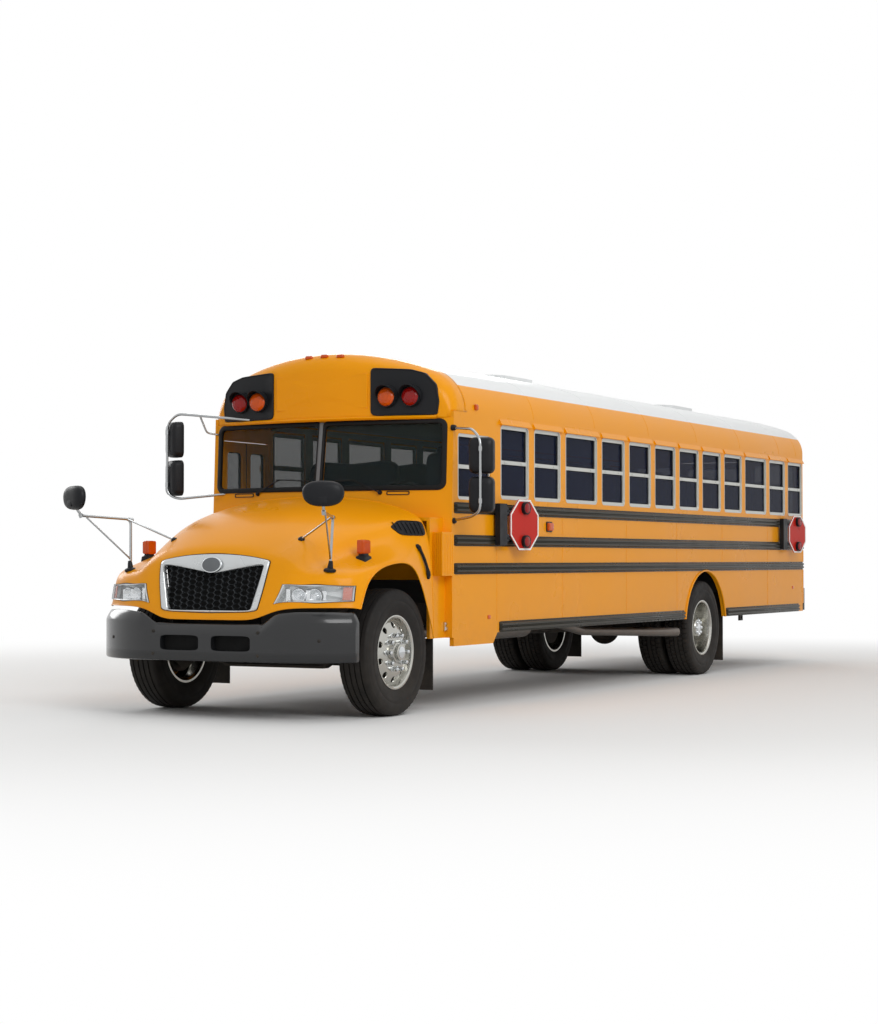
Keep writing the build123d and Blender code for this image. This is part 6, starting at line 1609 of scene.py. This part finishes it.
class BUS_OT_entrance(bpy.types.Operator):
    """Entrance door: rubbers round the panes, soft meeting edges and a rail inside"""
    bl_idname = "bus.entrance"
    bl_label = "Entrance door"

    def execute(self, context):
        right_side = (0, -1.0, 0)
        mid = (DOOR_FRONT + DOOR_REAR) / 2
        z0, z1 = DOOR_LOW, DOOR_HIGH
        # Leaf, its rear and front x, its meeting edge, and the way from that edge into the leaf
        for body, x0, x1, edge, sign in (
                ("entrance_front_leaf", mid + LEAF_GAP, DOOR_FRONT - .006, mid + LEAF_GAP, 1),
                ("entrance_rear_leaf", DOOR_REAR + .006, mid - LEAF_GAP, mid - LEAF_GAP, -1)):
            rubbers = []
            for f0, f1 in ((.05, .45), (.50, .95)):
                low, high = z0 + f0 * (z1 - z0), z0 + f1 * (z1 - z0)
                rubbers.append(frame_rubber((x0 + x1) / 2, -HALF + .002, (low + high) / 2, x1 - x0 - .12,
                                            high - low, .04, right_side, .014))
            lip, face = sorted((edge, edge - sign * .005)), sorted((edge, edge + sign * .03))
            strip = boxes([(*lip, -HALF + .004, -HALF + .034, z0 + .01, z1 - .01),
                           (*face, -HALF - .002, -HALF + .004, z0 + .01, z1 - .01)])
            piece(body + "_rubbers", rubbers + [strip], "seal_rubber", body, sharp=35)
        rail = [tube(bent([(-.985, -.62, 1.12), (-.985, -.62, 1.75), (-.985, -1.10, 1.35),
                           (-.985, -1.10, .92)], .06), .014, 12)]
        piece("entrance_grab_rail", rail, "chrome")
        return {"FINISHED"}


def pad(centre, size, lean=0.0, seams=()):
    """Crowned pad: a rounded block whose faces swell (powers of sine and cosine), with sewn channels across
    it and its upper part carried back by lean."""
    e = np.linspace(-math.pi / 2, math.pi / 2, 21)[:, None]
    w = np.linspace(0, TAU, 36, endpoint=False)[None]

    def soft(v, p=.28):
        return np.sign(v) * np.abs(v) ** p

    y = soft(np.sin(e), .22) + 0 * w
    x = soft(np.cos(e)) * soft(np.cos(w))
    z = soft(np.cos(e)) * soft(np.sin(w))
    dent = 1 - sum(.07 * np.exp(-((y - s) / .03) ** 2) for s in seams)
    points = np.stack([x * size[0] / 2 * dent, y * size[1] / 2, z * size[2] / 2 * dent], -1)
    points[..., 0] -= lean * (points[..., 2] + size[2] / 2)
    return grid(points + np.asarray(centre), wrap_v=True)


# Passenger benches: x of the first row, pitch, rows, y of their middle, height of the floor
ROW_FRONT, ROW_PITCH, ROWS, BENCH_Y, FLOOR_Z = -2.35, .69, 12, .675, 1.1


class BUS_OT_seats(bpy.types.Operator):
    """Passenger benches and the driver's seat as crowned vinyl pads on steel legs"""
    bl_idname = "bus.seats"
    bl_label = "Seats"

    def execute(self, context):
        rows = ROW_FRONT - ROW_PITCH * np.arange(ROWS)
        spots = np.array([(x, side * BENCH_Y, FLOOR_Z) for x in rows for side in (-1, 1)])
        bench = [pad((.135, 0, .405), (.475, .97, .135), seams=(0.0,)),
                 pad((-.05, 0, .74), (.125, .97, .76), lean=.075, seams=(0.0,))]
        pads = piece("passenger_seat_pads", [copies(p, spots) for p in bench], "seat_vinyl", "body",
                     ("passenger_seats",), sharp=80)
        legs = [tube(bent([(x, y, 0), (x, y, .32), (x + .2, y, .34)], .04), .014, 10) for x in (-.02, .26)
                for y in (-.38, .38)]
        legs.append(boxes([(-.06, .32, -.46, .46, .325, .342)]))
        piece("passenger_seat_legs", [copies(p, spots) for p in legs], "chassis_black", sharp=50)
        driver = [pad((-1.71, .64, 1.545), (.48, .49, .13), seams=(-.5, .5)),
                  pad((-1.895, .64, 1.92), (.12, .46, .66), lean=.06, seams=(-.5, .5)),
                  pad((-1.955, .64, 2.24), (.09, .28, .14))]
        seat = piece("driver_seat_pads", driver, "seat_vinyl", "body", ("driver_seat",), sharp=80)
        base = boxes([(-1.90, -1.54, .44, .84, 1.40, 1.47), (-1.86, -1.58, .48, .80, 1.1, 1.16),
                      (-1.80, -1.64, .54, .74, 1.15, 1.41)])
        piece("driver_seat_base", [base], "chassis_black", bevel=.008)
        return {"FINISHED"}


def seen(tree):
    """1 for rays the eye follows, straight, by a mirror or through a pane; 0 for rays that light the bus."""
    path = node(tree, "ShaderNodeLightPath").outputs
    share = path["Is Camera Ray"]
    for other in ("Is Glossy Ray", "Is Transmission Ray"):
        share = node(tree, "ShaderNodeMath", {0: share, 1: path[other]}, operation="MAXIMUM").outputs[0]
    return share


def aim_at(obj, place, look):
    """Puts a lamp or camera at place with its -Z axis along look."""
    obj.location = Vector(place)
    obj.rotation_euler = Vector(look).to_track_quat("-Z", "Y").to_euler()


# Studio lamps: name, place, aim, size in metres, power in watts
STUDIO_LAMPS = [
    ("key", (15, 17, 14), (0, 0, 1), 12, 2300), ("right", (-4, -22, 10), (0, 0, 1.2), 10, 1300),
    ("top", (0, 2, 16), (0, 0, 1), 14, 500), ("back", (-21, -14, 11), (0, 0, 1.5), 9, 1000),
]
SKY_LIGHT = 0.42                         # strength of the white world as light on the bus
FLOOR_RADIUS = 90
WHITE_FROM, WHITE_TO = 6.5, 14.0         # distance out where the floor turns to the background's white
CAMERA_PLACE = (14.746, 9.362, 1.278)    # from the front axle
CAMERA_TURN, CAMERA_RISE = 27.926, 1.307
SENSOR, FOCAL_SHARE = 36, 2068.6 / 1024  # sensor in mm; focal length as a share of it


class BUS_OT_stage(bpy.types.Operator):
    """Pale floor, soft studio light and the camera"""
    bl_idname = "bus.stage"
    bl_label = "Stage"

    def execute(self, context):
        scene = context.scene
        scene.view_settings.view_transform = "Standard"
        r, t = np.meshgrid(np.linspace(0, FLOOR_RADIUS, 10), np.linspace(0, TAU, 64, endpoint=False),
                           indexing="ij")
        points, quads = grid(np.stack([r * np.cos(t), r * np.sin(t), 0 * r], -1), wrap_v=True)
        mesh = bpy.data.meshes.new("studio_floor")
        mesh.from_pydata(points.tolist(), [], quads.tolist())
        floor = bpy.data.objects.new("studio_floor", mesh)
        scene.collection.objects.link(floor)
        mesh.materials.append(self.floor_finish(scene.bus_colours.floor))
        self.world(scene)
        for name, place, aim, size, power in STUDIO_LAMPS:
            data = bpy.data.lights.new(name, "AREA")
            data.energy = power
            data.size = size
            light = bpy.data.objects.new(name, data)
            scene.collection.objects.link(light)
            aim_at(light, place, np.asarray(aim, float) - place)
        camera = bpy.data.objects.new("camera", bpy.data.cameras.new("camera"))
        scene.collection.objects.link(camera)
        camera.data.sensor_width = SENSOR
        camera.data.lens = FOCAL_SHARE * SENSOR
        camera.data.clip_end = 400
        az, el = math.radians(CAMERA_TURN), math.radians(CAMERA_RISE)
        look = np.array([-math.cos(az) * math.cos(el), -math.sin(az) * math.cos(el), math.sin(el)])
        aim_at(camera, CAMERA_PLACE + np.array([AXLE_X, 0, 0]), look)
        scene.camera = camera
        return {"FINISHED"}

    def floor_finish(self, colour):
        """Matt painted floor near the bus; far out it turns white for the rays that the eye follows."""
        mat = bpy.data.materials.new("matt_floor_paint")
        mat.use_nodes = True
        tree = mat.node_tree
        shader = tree.nodes["Principled BSDF"]
        shader.inputs["Base Color"].default_value = rgba(colour)
        shader.inputs["Roughness"].default_value = .9
        shader.inputs["Specular IOR Level"].default_value = .1
        place = node(tree, "ShaderNodeTexCoord").outputs["Object"]
        far = node(tree, "ShaderNodeVectorMath", {0: place}, operation="LENGTH").outputs["Value"]
        share = node(tree, "ShaderNodeMapRange", {"Value": far, "From Min": WHITE_FROM, "From Max": WHITE_TO},
                     interpolation_type="SMOOTHSTEP")
        share = node(tree, "ShaderNodeMath", {0: share.outputs[0], 1: seen(tree)}, operation="MULTIPLY")
        white = node(tree, "ShaderNodeEmission", {"Color": (1, 1, 1, 1), "Strength": 1.0})
        both = node(tree, "ShaderNodeMixShader",
                    {0: share.outputs[0], 1: shader.outputs[0], 2: white.outputs[0]})
        tree.links.new(both.outputs[0], tree.nodes["Material Output"].inputs["Surface"])
        return mat

    def world(self, scene):
        """White background for camera, mirror and glass rays; a softer white light on the bus."""
        world = bpy.data.worlds.new("studio")
        scene.world = world
        world.use_nodes = True
        tree = world.node_tree
        back = tree.nodes["Background"]
        back.inputs["Color"].default_value = (1, 1, 1, 1)
        strength = node(tree, "ShaderNodeMapRange", {"Value": seen(tree), "To Min": SKY_LIGHT, "To Max": 1.0})
        tree.links.new(strength.outputs[0], back.inputs["Strength"])


OPERATORS = (BUS_OT_finishes, BUS_OT_bonnet, BUS_OT_grille, BUS_OT_headlamps, BUS_OT_crossview,
             BUS_OT_front_cap, BUS_OT_windscreen, BUS_OT_bumper, BUS_OT_wheels, BUS_OT_sides,
             BUS_OT_side_mirrors, BUS_OT_stop_arms, BUS_OT_roof, BUS_OT_rear, BUS_OT_entrance, BUS_OT_seats,
             BUS_OT_stage)


class BUS_PT_panel(bpy.types.Panel):
    """Sizes, colours and building steps of the bus"""
    bl_idname = "BUS_PT_panel"
    bl_label = "School bus"
    bl_space_type = "VIEW_3D"
    bl_region_type = "UI"
    bl_category = "School bus"

    def draw(self, context):
        for group in (context.scene.bus_sizes, context.scene.bus_colours):
            for key in group.__annotations__:
                self.layout.prop(group, key)
        for op in OPERATORS:
            self.layout.operator(op.bl_idname)


CLASSES = (BusSizes, BusColours, *OPERATORS, BUS_PT_panel)


def register():
    for cls in CLASSES:
        bpy.utils.register_class(cls)
    bpy.types.Scene.bus_sizes = bpy.props.PointerProperty(type=BusSizes)
    bpy.types.Scene.bus_colours = bpy.props.PointerProperty(type=BusColours)


def unregister():
    del bpy.types.Scene.bus_colours
    del bpy.types.Scene.bus_sizes
    for cls in reversed(CLASSES):
        bpy.utils.unregister_class(cls)


def main():
    register()
    for op in OPERATORS:
        group, name = op.bl_idname.split(".")
        getattr(getattr(bpy.ops, group), name)()


if __name__ == "__main__":
    main()
